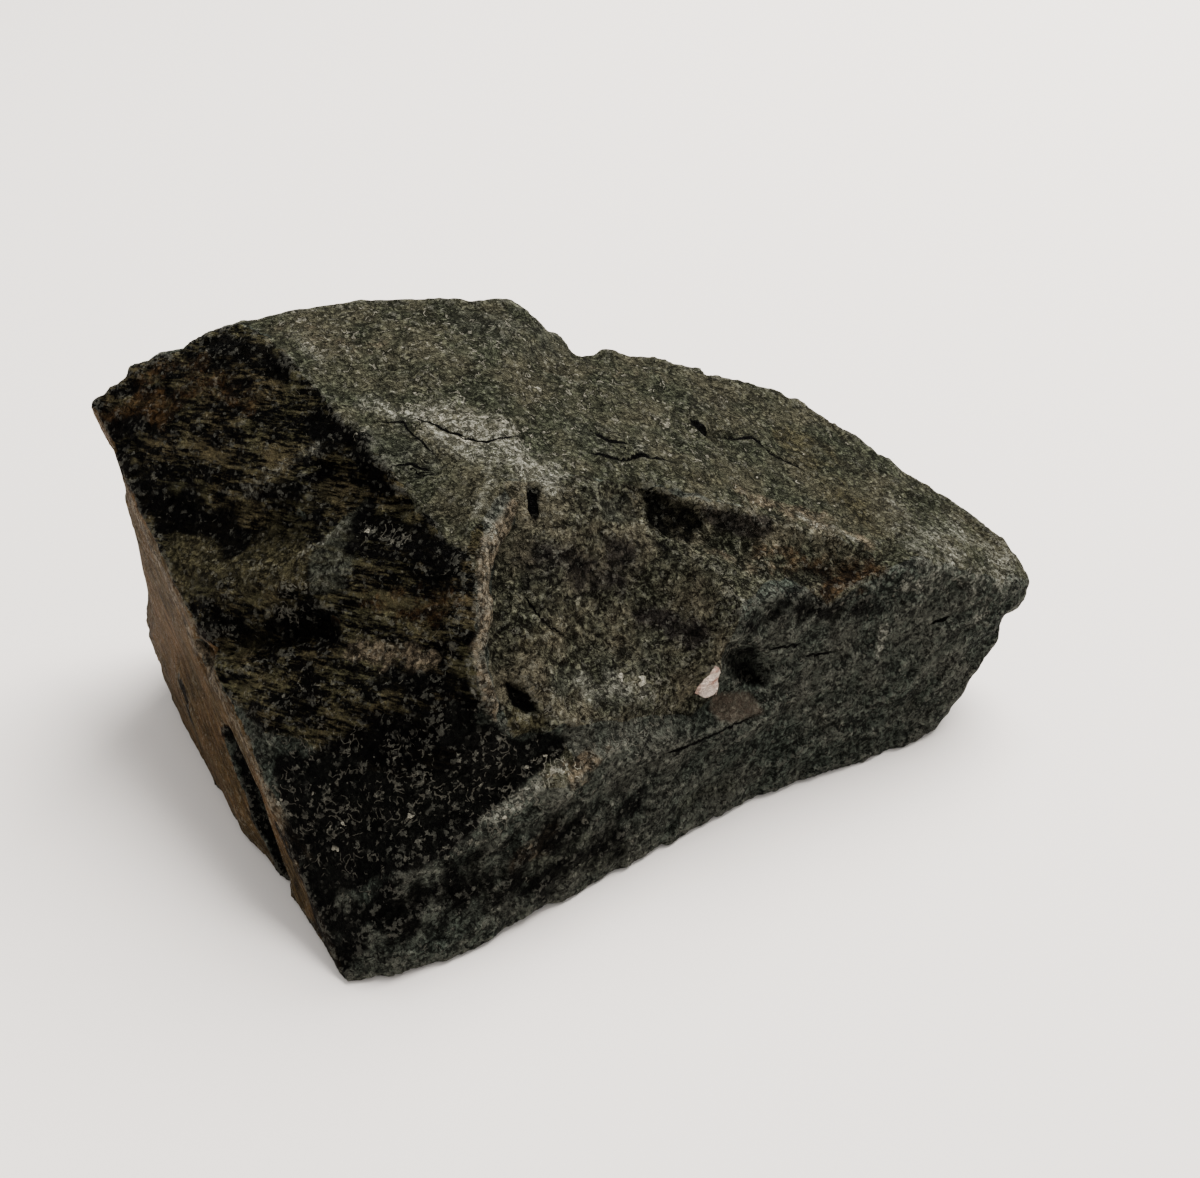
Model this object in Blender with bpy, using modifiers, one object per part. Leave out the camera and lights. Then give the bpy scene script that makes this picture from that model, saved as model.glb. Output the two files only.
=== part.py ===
"""Greenschist hand specimen: one joint-bounded piece of foliated rock with a scooped front.

The stone lies on a few flat spots of its underside. +X is its longest extent, from the tall
blunt end on the left to the low wedge on the right. +Y runs from the broken front to the back,
and +Z is up. Corners are given in millimetres on a working grid whose origin is near the middle
of the footprint, at the level of the ground. The finished stone is scaled to STONE_LENGTH, and
the frame's origin is put at the bottom centre of its bounding box.
"""
import math
from typing import NamedTuple

import bmesh
import bpy
import numpy as np
from mathutils import Vector, noise

MM = 0.001

# Driving dimensions, in millimetres
STONE_LENGTH = 154.5
UNDERSIDE = 0.6
VOXEL = 0.9
SKIN_GROWTH = 0.4
GROUND_DEPTH = 10.0

# How many triangles the surface keeps before the resting spots are cut
TRIANGLES = 8400
SOFTENING_PASSES = 1

# Relief, in millimetres: how high it stands and how far apart it repeats
LUMP_HEIGHT, LUMP_SPACING = 0.55, 24.0
CHIP_HEIGHT, CHIP_SPACING = 0.7, 10.0
LEDGE_HEIGHT, LEDGE_SPACING = 0.5, 6.5
LEDGE_WANDER = 1.4
PLATE_THINNESS = 2.2
RELIEF_SHIFT = Vector((3.1, 7.4, 1.7))
CHIP_TILT_SEED = 3.7

# The rock splits along planes that lie across this direction
FOLIATION = Vector((-0.30, -0.30, 0.91)).normalized()

# The joint face on the left is smoother than the broken faces
JOINT_NORMAL = Vector((-0.84, -0.54, 0.0)).normalized()
JOINT_RELIEF = 0.35
JOINT_FOCUS = 8

# Left half: joint face, sloping brown face, flat crown
JOINT_EDGE = [
    (-35, -47, UNDERSIDE), (-44, -33, 14), (-49, -25.5, 21), (-53.5, -18, 26.5),
    (-61, -6.5, 31), (-68, 4.5, 36.5), (-75.5, 16, 43), (-83, 27.5, 53),
]
JOINT_FOOT = [(-48, -25.5, UNDERSIDE), (-61.5, -6, UNDERSIDE), (-74, 14.5, UNDERSIDE), (-78.5, 20, 14)]
BROWN_FACE_FOOT = [(-39, -23, 24), (-31.5, -22.5, 28.5), (-18, -27, 34)]
CROWN_RIDGE = [(-49, 20, 65), (-38, 7.5, 60.5), (-29, -3, 57), (-22.5, -12, 53.5), (-19, -14, 52)]
RIB = [(-18.5, -22, 46), (-18.5, -27, 37), (-14, -29, 30.5)]
CROWN_BACK = [
    (-72, 29.5, 60.2), (-63, 29, 64.2), (-57.5, 28, 65.7), (-52, 31, 65.8), (-44, 35, 66.4),
    (-33, 37, 67), (-16, 39, 66.5), (-12, 38, 64.6), (-8.5, 37, 61.2), (-4.5, 38, 57.9),
]
CROWN_FRONT = [(-14.5, -4, 56.5)]
LEFT_BACK_FOOT = [(-70, 36, UNDERSIDE), (-15, 46, UNDERSIDE)]
LEFT_FRONT_FOOT = [(-29, -47, UNDERSIDE), (-17, -41, UNDERSIDE)]
LEFT_CREST = [(-27, -41.5, 15.5), (-17, -35, 19)]

# Right half: top face falling to the low end, and the wall in front of it
TOP_BACK = [
    (-4.5, 38, 57.9), (3, 39, 57.5), (11, 40, 55.3), (24, 41.5, 50.9), (34, 42, 47.1),
    (41, 38.5, 43.9), (49, 35.5, 39.8), (57, 31, 35.5), (63, 28.5, 32.8), (69, 24.5, 29.8),
]
TOP_MIDDLE = [(24, 7, 44.5), (45, 10, 37), (52.5, 11.5, 34.5), (69, 16, 27)]
TOP_LEFT = [(-14.5, -4, 56.5), (5, 3.5, 52), (24, 7, 44.5)]
TOP_LEFT_FOOT = [(-30, 0, UNDERSIDE), (24, 5, UNDERSIDE), (-25, 45, UNDERSIDE), (30, 43, UNDERSIDE)]
RIGHT_END = [
    (72.8, 19.5, 25), (71, 18, 19), (65.5, 14, 13), (60.5, 10.5, 4), (58, 10, UNDERSIDE),
    (72, 28, 17), (64, 26, UNDERSIDE),
]
RIGHT_BACK_FOOT = [(50, 38, UNDERSIDE), (24, 44, UNDERSIDE)]
WALL_FOOT = [(13, -15, UNDERSIDE), (33, -4.5, UNDERSIDE), (54, 6.5, UNDERSIDE)]
WALL_TOP = [(20, -7, 37.5), (22.5, -7, 30), (35.5, 1, 33.5), (48, 7.5, 34.5), (52, 10, 34.5)]
WALL_BACK = [(20, 10, UNDERSIDE), (14, 4, 42), (27, 6, 40.5), (44, 11, 36)]

# Middle: the low front foot with its crest, and the block that the scoop is broken out of
FOOT_FRONT = [
    (-17, -41, UNDERSIDE), (-5, -30.5, UNDERSIDE), (7, -19, UNDERSIDE), (14, -15, UNDERSIDE),
    (26, -8, UNDERSIDE),
]
FOOT_CREST = [
    (-17, -35, 19), (-5.5, -28.5, 20.5), (2, -21, 22), (8, -17, 19), (16, -12.5, 17.5), (26, -6.5, 17.5),
]
FOOT_BROW = [(-14, -29, 30.5), (-5.5, -24.5, 26)]
FOOT_BACK = [(-24, -5, UNDERSIDE), (28, 10, UNDERSIDE), (0, -2, 30), (22, 4, 25)]
MIDDLE_RIM = [
    (-14.5, -4, 56.5), (5, 3.5, 52), (24, 7, 44.5), (20, -7, 37.5),
    (-14, -29, 30.5), (2, -21, 22), (16, -12.5, 17.5),
]
MIDDLE_BACK = [(-14, 20, 40), (-24, 10, UNDERSIDE), (28, 14, UNDERSIDE)]

# Saddle that carries the crown's fall smoothly into the top face, short of the back edge
SADDLE = [
    (-20, 25, 63.5), (-18, 5, 58.5), (-14.5, -4, 56.5), (5, 3.5, 52), (14, 8, 49.5), (13, 28, 53),
    (-12, 22, 30), (8, 22, 30),
]

# The scoop is one side of a long egg: where it lies, how wide and long it is, which way it runs
SCOOP_CENTRE = (16.5, -34.5, 59.5)
SCOOP_RADIUS = 36.0
SCOOP_HALF_LENGTH = 66.0
SCOOP_RUN = (0.0, -0.61, -0.79)
SCOOP_SEGMENTS = 64

# A hollow or swell fades out over this many times its reach
FADE = 1.6


class Feature(NamedTuple):
    """A hollow or swell along a path: its reach to each side, and its depth (a height if negative)."""

    name: str
    reach: float
    depth: float
    path: list


FEATURES = [
    # Left face and crown
    Feature("shadowed step", 2.6, 2.1, [(-59, -9, 29), (-53, -11, 32), (-46, -12.5, 35), (-39, -15, 38)]),
    Feature("upper bench", 5.0, -1.3, [(-57, -4, 37), (-48, -7, 40.5), (-38, -10.5, 44)]),
    Feature("lower bench", 5.0, -1.3, [(-46.5, -21.5, 27), (-35, -24, 31.5), (-22.5, -27.5, 36)]),
    Feature("upper step", 4.0, 1.4, [(-66, 8, 42), (-56, 2, 45), (-46, -2.5, 47)]),
    Feature("hollow under the crown", 3.8, 1.6, [(-39, 0, 54), (-31, -4.5, 54), (-24, -10, 53.5)]),
    Feature("crown ridge", 1.6, -0.4, [(-49, 20, 65), (-38, 7.5, 61), (-29, -3, 57), (-22, -12, 54)]),
    Feature("black band", 6.0, -0.7, [(-43, -29, 20.5), (-30.5, -31, 25.5), (-19, -31.5, 27.5)]),
    Feature("groove of the joint face", 2.4, 2.2, [(-55, -16, 18), (-50.5, -23, 13), (-46.5, -29, 3)]),
    Feature("plate of the joint face", 6.0, -1.3, [(-66.5, 1.5, 13), (-59, -10.5, 9), (-54, -18, 6)]),
    Feature("back left edge", 7.0, 2.2, [(-80, 22, 22), (-81, 24, 42)]),
    Feature("nick in the left skyline", 3.5, 1.0, [(-67, 29, 62)]),
    Feature("nick in the crown", 3.0, 1.0, [(-3, 38, 57.5)]),
    # Scoop and the ground around it
    Feature("rib of the scoop", 2.3, -1.3, [(-16, -7, 55), (-18, -15, 50), (-18, -23, 43), (-16, -27, 35)]),
    Feature("slot at the scoop's top", 1.3, 0.8, [(-9.5, -3, 55), (-9.3, -5.5, 51.5)]),
    Feature("hollow at the scoop's foot", 2.2, 1.7, [(-12, -23, 33), (-9.5, -24, 31)]),
    Feature("ground before the scoop", 2.4, -0.7, [(-6.5, -24.5, 29.5), (-2, -22.5, 28)]),
    Feature("hollow under the top face", 4.0, 2.6, [(5, 1.5, 50.5), (12, 1.5, 47), (21, 2.5, 43)]),
    Feature("left crest", 3.0, -0.9, [(-27, -42, 15.5), (-14, -33, 19), (-5.5, -28, 20.5)]),
    Feature("right crest", 3.5, -1.2, [(-5.5, -28, 20.5), (2, -22, 22), (15.5, -14, 18), (26, -6.5, 17)]),
    # Right wall and low end
    Feature("corner of the wall", 2.8, -1.0, [(20, -6.5, 37.5), (22, -7, 30), (17.5, -10, 28.5)]),
    Feature("hollow in the wall", 2.8, 2.0, [(21.5, -7.5, 29.5), (24.5, -5, 25)]),
    Feature("lip of the wall", 2.5, -0.8, [(35.5, 1, 34), (47.5, 7.5, 34.5), (52, 10.5, 34)]),
    Feature("rusty recess", 4.0, 1.6, [(31, 1.5, 37), (44, 6.5, 35.5)]),
    Feature("nick in the low end", 2.5, 1.2, [(69.5, 17.5, 18), (72, 24, 17)]),
    Feature("hollow of the low end", 6.0, 1.6, [(70, 26, 18), (66, 26, 8)]),
    # Back
    Feature("step across the back", 6.0, 2.4, [(-60, 32, 30), (-30, 40, 36), (0, 42, 33), (30, 42, 26)]),
    Feature("swell under the step", 9.0, -1.6, [(-50, 38, 18), (-20, 44, 22), (14, 45, 18)]),
    Feature("scoop in the back", 11.0, 2.6, [(16, 43, 38), (26, 43, 30)]),
    # Underside
    Feature("lifted front edge", 2.5, 0.8, [(-30, -45, 0), (-17, -38.5, 0), (-8, -32, 0)]),
    Feature("hollow behind the middle", 9.0, 2.4, [(-42, 26, 0), (-14, 34, 0), (22, 32, 0)]),
    Feature("hollow left of the middle", 7.0, 2.0, [(-36, -2, 0), (-28, -20, 0)]),
    Feature("hollow right of the middle", 7.0, 2.0, [(24, 4, 0), (30, 22, 0)]),
    Feature("middle resting spot", 9.0, -1.6, [(-14, 4, 0), (8, 10, 0)]),
    Feature("left resting spot", 9.0, -2.0, [(-46, -12, 0), (-60, 12, 0)]),
    Feature("front resting spot", 7.0, -2.0, [(-26, -30, 0)]),
    Feature("right resting spot", 9.0, -2.0, [(44, 16, 0), (52, 18, 0)]),
]


def clear_scene():
    """Remove every object that the scene starts with."""
    for item in list(bpy.data.objects):
        bpy.data.objects.remove(item, do_unlink=True)


def collection_named(name):
    """Make a collection under the scene's own."""
    group = bpy.data.collections.new(name)
    bpy.context.scene.collection.children.link(group)
    return group


def stone_material():
    """Dark green-grey stone, dull all over."""
    material = bpy.data.materials.new("greenschist_stone")
    material.use_nodes = True
    shader = material.node_tree.nodes["Principled BSDF"]
    shader.inputs["Base Color"].default_value = (0.075, 0.088, 0.072, 1.0)
    shader.inputs["Roughness"].default_value = 0.72
    shader.inputs["Metallic"].default_value = 0.0
    return material


def object_from(shape, name, group):
    """Turn a bmesh into an object of its own in the collection."""
    mesh = bpy.data.meshes.new(name)
    shape.to_mesh(mesh)
    shape.free()
    block = bpy.data.objects.new(name, mesh)
    group.objects.link(block)
    return block


def hull_object(name, corners, group):
    """Close one convex block of rock around its corners."""
    shape = bmesh.new()
    for corner in corners:
        shape.verts.new(Vector(corner) * MM)
    result = bmesh.ops.convex_hull(shape, input=shape.verts)
    inside = [item for item in result["geom_interior"] if isinstance(item, bmesh.types.BMVert)]
    bmesh.ops.delete(shape, geom=inside, context="VERTS")
    bmesh.ops.recalc_face_normals(shape, faces=shape.faces)
    return object_from(shape, name, group)


def scoop_object(group):
    """Egg-shaped cutter for the shell-shaped fracture in the front."""
    shape = bmesh.new()
    bmesh.ops.create_uvsphere(shape, u_segments=SCOOP_SEGMENTS, v_segments=SCOOP_SEGMENTS // 2,
                              radius=SCOOP_RADIUS * MM)
    stretch = Vector((1.0, 1.0, SCOOP_HALF_LENGTH / SCOOP_RADIUS))
    bmesh.ops.scale(shape, vec=stretch, verts=shape.verts)
    turn = Vector(SCOOP_RUN).to_track_quat("Z", "Y").to_matrix()
    bmesh.ops.rotate(shape, matrix=turn, verts=shape.verts)
    bmesh.ops.translate(shape, vec=Vector(SCOOP_CENTRE) * MM, verts=shape.verts)
    return object_from(shape, "scoop", group)


def ground_object(group):
    """Slab under the stone, whose top is the level of the resting spots."""
    shape = bmesh.new()
    bmesh.ops.create_cube(shape, size=1.0)
    extent = Vector((2.0 * STONE_LENGTH, 2.0 * STONE_LENGTH, GROUND_DEPTH)) * MM
    bmesh.ops.scale(shape, vec=extent, verts=shape.verts)
    bmesh.ops.translate(shape, vec=Vector((0.0, 0.0, -GROUND_DEPTH / 2.0)) * MM, verts=shape.verts)
    return object_from(shape, "ground", group)


def apply_modifiers(block):
    """Replace the block's mesh with its evaluated one."""
    graph = bpy.context.evaluated_depsgraph_get()
    graph.update()
    finished = bpy.data.meshes.new_from_object(block.evaluated_get(graph))
    block.modifiers.clear()
    block.data = finished


def combine(block, other, operation):
    """Join or cut one block with another, and drop the other."""
    modifier = block.modifiers.new(operation.lower(), "BOOLEAN")
    modifier.operation = operation
    modifier.solver = "EXACT"
    modifier.object = other
    apply_modifiers(block)
    bpy.data.objects.remove(other, do_unlink=True)


def rough_block(stone_group, cutter_group):
    """Union of the blocks that the stone's facets bound, with the scoop broken out."""
    left = JOINT_EDGE + JOINT_FOOT + BROWN_FACE_FOOT + CROWN_RIDGE + RIB + CROWN_BACK
    left += CROWN_FRONT + LEFT_BACK_FOOT + LEFT_FRONT_FOOT + LEFT_CREST
    joined = {
        "middle_block": MIDDLE_RIM + MIDDLE_BACK,
        "top_left_block": TOP_BACK[:5] + TOP_LEFT + TOP_LEFT_FOOT,
        "right_block": TOP_BACK[3:] + TOP_MIDDLE + RIGHT_END + RIGHT_BACK_FOOT + WALL_FOOT,
        "saddle": SADDLE,
        "front_wall": WALL_FOOT + WALL_TOP + WALL_BACK + RIGHT_END[:5],
    }
    block = hull_object("greenschist", left, stone_group)
    for name, corners in joined.items():
        combine(block, hull_object(name, corners, cutter_group), "UNION")
    combine(block, scoop_object(cutter_group), "DIFFERENCE")
    foot = FOOT_FRONT + FOOT_CREST + FOOT_BROW + FOOT_BACK
    combine(block, hull_object("front_foot", foot, cutter_group), "UNION")
    return block


def settle_mesh(block):
    """Rebuild the joined blocks as an even skin and take the knife edge off their corners."""
    skin = block.modifiers.new("even_skin", "REMESH")
    skin.mode = "VOXEL"
    skin.voxel_size = VOXEL * MM
    apply_modifiers(block)
    shape = bmesh.new()
    shape.from_mesh(block.data)
    for _ in range(SOFTENING_PASSES):
        bmesh.ops.smooth_vert(shape, verts=shape.verts, factor=0.5,
                              use_axis_x=True, use_axis_y=True, use_axis_z=True)
    shape.to_mesh(block.data)
    shape.free()


def distance_to_path(points, path):
    """Distance from each point to the nearest stretch of the path."""
    path = np.array(path, dtype=float)
    nearest = np.linalg.norm(points - path[0], axis=1)
    for start, end in zip(path[:-1], path[1:]):
        run = end - start
        along = np.clip((points - start) @ run / (run @ run), 0.0, 1.0)
        gap = np.linalg.norm(points - start - along[:, None] * run, axis=1)
        nearest = np.minimum(nearest, gap)
    return nearest


def feature_offsets(points):
    """Outward offset that the named hollows and swells give each point, in millimetres."""
    offsets = np.zeros(len(points))
    for feature in FEATURES:
        near = np.clip(1.0 - distance_to_path(points, feature.path) / (FADE * feature.reach), 0.0, 1.0)
        offsets -= feature.depth * near * near * (3.0 - 2.0 * near)
    return offsets


def relief_offset(point, normal):
    """Outward offset of the rock's own texture at one point, in millimetres."""
    lumps = LUMP_HEIGHT * noise.fractal(point / LUMP_SPACING + RELIEF_SHIFT, 1.0, 2.0, 2)
    # Chips are small tilted plates, thin across the foliation
    squeezed = point + FOLIATION * (point.dot(FOLIATION) * (PLATE_THINNESS - 1.0))
    cell_point = squeezed / CHIP_SPACING + RELIEF_SHIFT
    centre = noise.voronoi(cell_point)[1][0]
    chips = CHIP_HEIGHT * (cell_point - centre).dot(noise.noise_vector(centre * CHIP_TILT_SEED))
    # Ledges show where the surface cuts across the foliation
    level = point.dot(FOLIATION) / LEDGE_SPACING + LEDGE_WANDER * noise.noise(point / LUMP_SPACING)
    across = 1.0 - abs(normal.dot(FOLIATION))
    ledges = LEDGE_HEIGHT * across * (level - math.floor(level) - 0.5)
    calm = 1.0 - (1.0 - JOINT_RELIEF) * max(0.0, normal.dot(JOINT_NORMAL)) ** JOINT_FOCUS
    return SKIN_GROWTH + calm * (lumps + chips + ledges)


def carve_relief(block):
    """Push the skin in and out along its normals."""
    mesh = block.data
    points = np.array([vertex.co for vertex in mesh.vertices], dtype=float) / MM
    normals = np.array([vertex.normal for vertex in mesh.vertices], dtype=float)
    offsets = feature_offsets(points)
    for index, point in enumerate(points):
        offsets[index] += relief_offset(Vector(point), Vector(normals[index]))
    points += normals * offsets[:, None]
    mesh.vertices.foreach_set("co", (points * MM).ravel())
    mesh.update()


def thin_out(block):
    """Keep only as many triangles as the lumps, ledges and edges need."""
    block.data.calc_loop_triangles()
    fewer = block.modifiers.new("fewer_triangles", "DECIMATE")
    fewer.decimate_type = "COLLAPSE"
    fewer.ratio = TRIANGLES / len(block.data.loop_triangles)
    fewer.use_collapse_triangulate = True
    apply_modifiers(block)


def stand_over_origin(block):
    """Scale to the driving length, and put the origin at the bottom centre of the box."""
    corners = np.array([vertex.co for vertex in block.data.vertices])
    low, high = corners.min(axis=0), corners.max(axis=0)
    foot = Vector(((low[0] + high[0]) / 2.0, (low[1] + high[1]) / 2.0, low[2]))
    growth = STONE_LENGTH * MM / (high[0] - low[0])
    for vertex in block.data.vertices:
        vertex.co = (vertex.co - foot) * growth


def main():
    """Build the stone in the scene."""
    clear_scene()
    stone_group = collection_named("greenschist_specimen")
    cutter_group = collection_named("cutters")
    stone = rough_block(stone_group, cutter_group)
    settle_mesh(stone)
    carve_relief(stone)
    thin_out(stone)
    combine(stone, ground_object(cutter_group), "DIFFERENCE")
    stand_over_origin(stone)
    stone.data.materials.clear()
    stone.data.materials.append(stone_material())


main()
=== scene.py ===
"""Looks of the greenschist hand specimen: fine rock surface, weathering colours, floor, light and camera.

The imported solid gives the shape. Its surface is rebuilt finely here, given the small ledges and
flakes that the rock splits into, and painted with named markings. Lengths are in millimetres, as
the markings were measured; the mesh itself and the key light's place stay in metres.
"""
import itertools
import logging
import math
from collections.abc import Callable
from dataclasses import dataclass
from enum import Enum

import bmesh
import bpy
import numpy as np
from mathutils import Matrix, Vector, noise


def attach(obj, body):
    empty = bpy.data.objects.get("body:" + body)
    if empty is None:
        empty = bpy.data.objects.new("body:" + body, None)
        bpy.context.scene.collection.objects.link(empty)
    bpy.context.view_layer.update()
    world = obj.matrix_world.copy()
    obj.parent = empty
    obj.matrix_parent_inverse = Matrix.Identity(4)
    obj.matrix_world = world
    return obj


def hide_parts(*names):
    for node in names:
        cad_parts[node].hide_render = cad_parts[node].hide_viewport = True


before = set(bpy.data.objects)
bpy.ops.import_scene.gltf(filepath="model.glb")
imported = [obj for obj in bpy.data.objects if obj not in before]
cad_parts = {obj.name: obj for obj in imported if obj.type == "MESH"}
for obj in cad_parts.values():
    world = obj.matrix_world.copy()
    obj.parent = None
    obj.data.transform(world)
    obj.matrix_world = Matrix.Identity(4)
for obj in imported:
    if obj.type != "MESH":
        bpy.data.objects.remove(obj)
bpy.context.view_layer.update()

log = logging.getLogger("greenschist")

MM = 0.001

Array = np.ndarray
Object = bpy.types.Object
Point = tuple[float, float, float]
Path = tuple[Point, ...]
Colour = tuple[float, float, float, float]


class Mark(Enum):
    """Markings that are painted on the stone, each as a layer of the mesh."""

    RUST = "rust"
    OLIVE = "olive"
    TEAL = "teal"
    PURPLE = "purple"
    TAN = "tan"
    # Near-black patches: partly dark rock, partly painted shade under ledges, in hollows, beside the rib and
    # along the foot.
    DARK_AND_SHADE = "dark_and_shade"
    # Pale patches and edge lines: partly real rock powder, partly a painted sheen, as on the broad bright patch
    # on the top and the right end.
    POWDER_AND_SHEEN = "powder_and_sheen"
    FLECKS = "flecks"


class Zone(Enum):
    """Faces of the stone whose rock looks different all over."""

    TOP = "zone_top"
    BROWN = "zone_brown"
    SCOOP = "zone_scoop"
    JOINT = "zone_joint"


class Form(Enum):
    """Layers that follow the shape of the surface."""

    EDGE = "form_edge"
    # Concave places; the material darkens them as painted shade.
    HOLLOW = "form_hollow"
    CRACK = "crack_distance"
    CRACK_WIDTH = "crack_width"
    CHIP = "chip_distance"
    FACET = "facet_distance"


@dataclass(frozen=True)
class Patch:
    """A marking along a path.

    Attributes:
        path: Points that it runs through.
        reach: How far it spreads to each side.
        strength: How much of the surface it covers at its middle.
    """

    path: Path
    reach: float
    strength: float = 1.0


@dataclass(frozen=True)
class Crack:
    """A hairline crack along a path, with its width at the middle."""

    path: Path
    width: float


@dataclass(frozen=True)
class Spot:
    """A marking inside a closed outline.

    Attributes:
        outline: Its corners, in order.
        edge: How wide its border fades.
        strength: How much of the surface it covers.
        depth: How far the stone is cut in there.
    """

    outline: Path
    edge: float
    strength: float = 1.0
    depth: float = 0.0


@dataclass(frozen=True)
class Lumps:
    """A field of smooth random lumps: how high and how wide they are, and which field it is."""

    height: float
    width: float | Point
    seed: int


@dataclass(frozen=True)
class Ramp:
    """A smooth rise from 0 to 1 over a width."""

    start: float
    width: float

    def at(self, values: Array) -> Array:
        """How far up the rise each value is."""
        return smooth_step((values - self.start) / self.width)


def listed(kind: type, rows: dict[Mark, tuple]) -> dict:
    """Turn each row into an object of one kind."""
    return {mark: tuple(kind(*row) for row in part) for mark, part in rows.items()}


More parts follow.
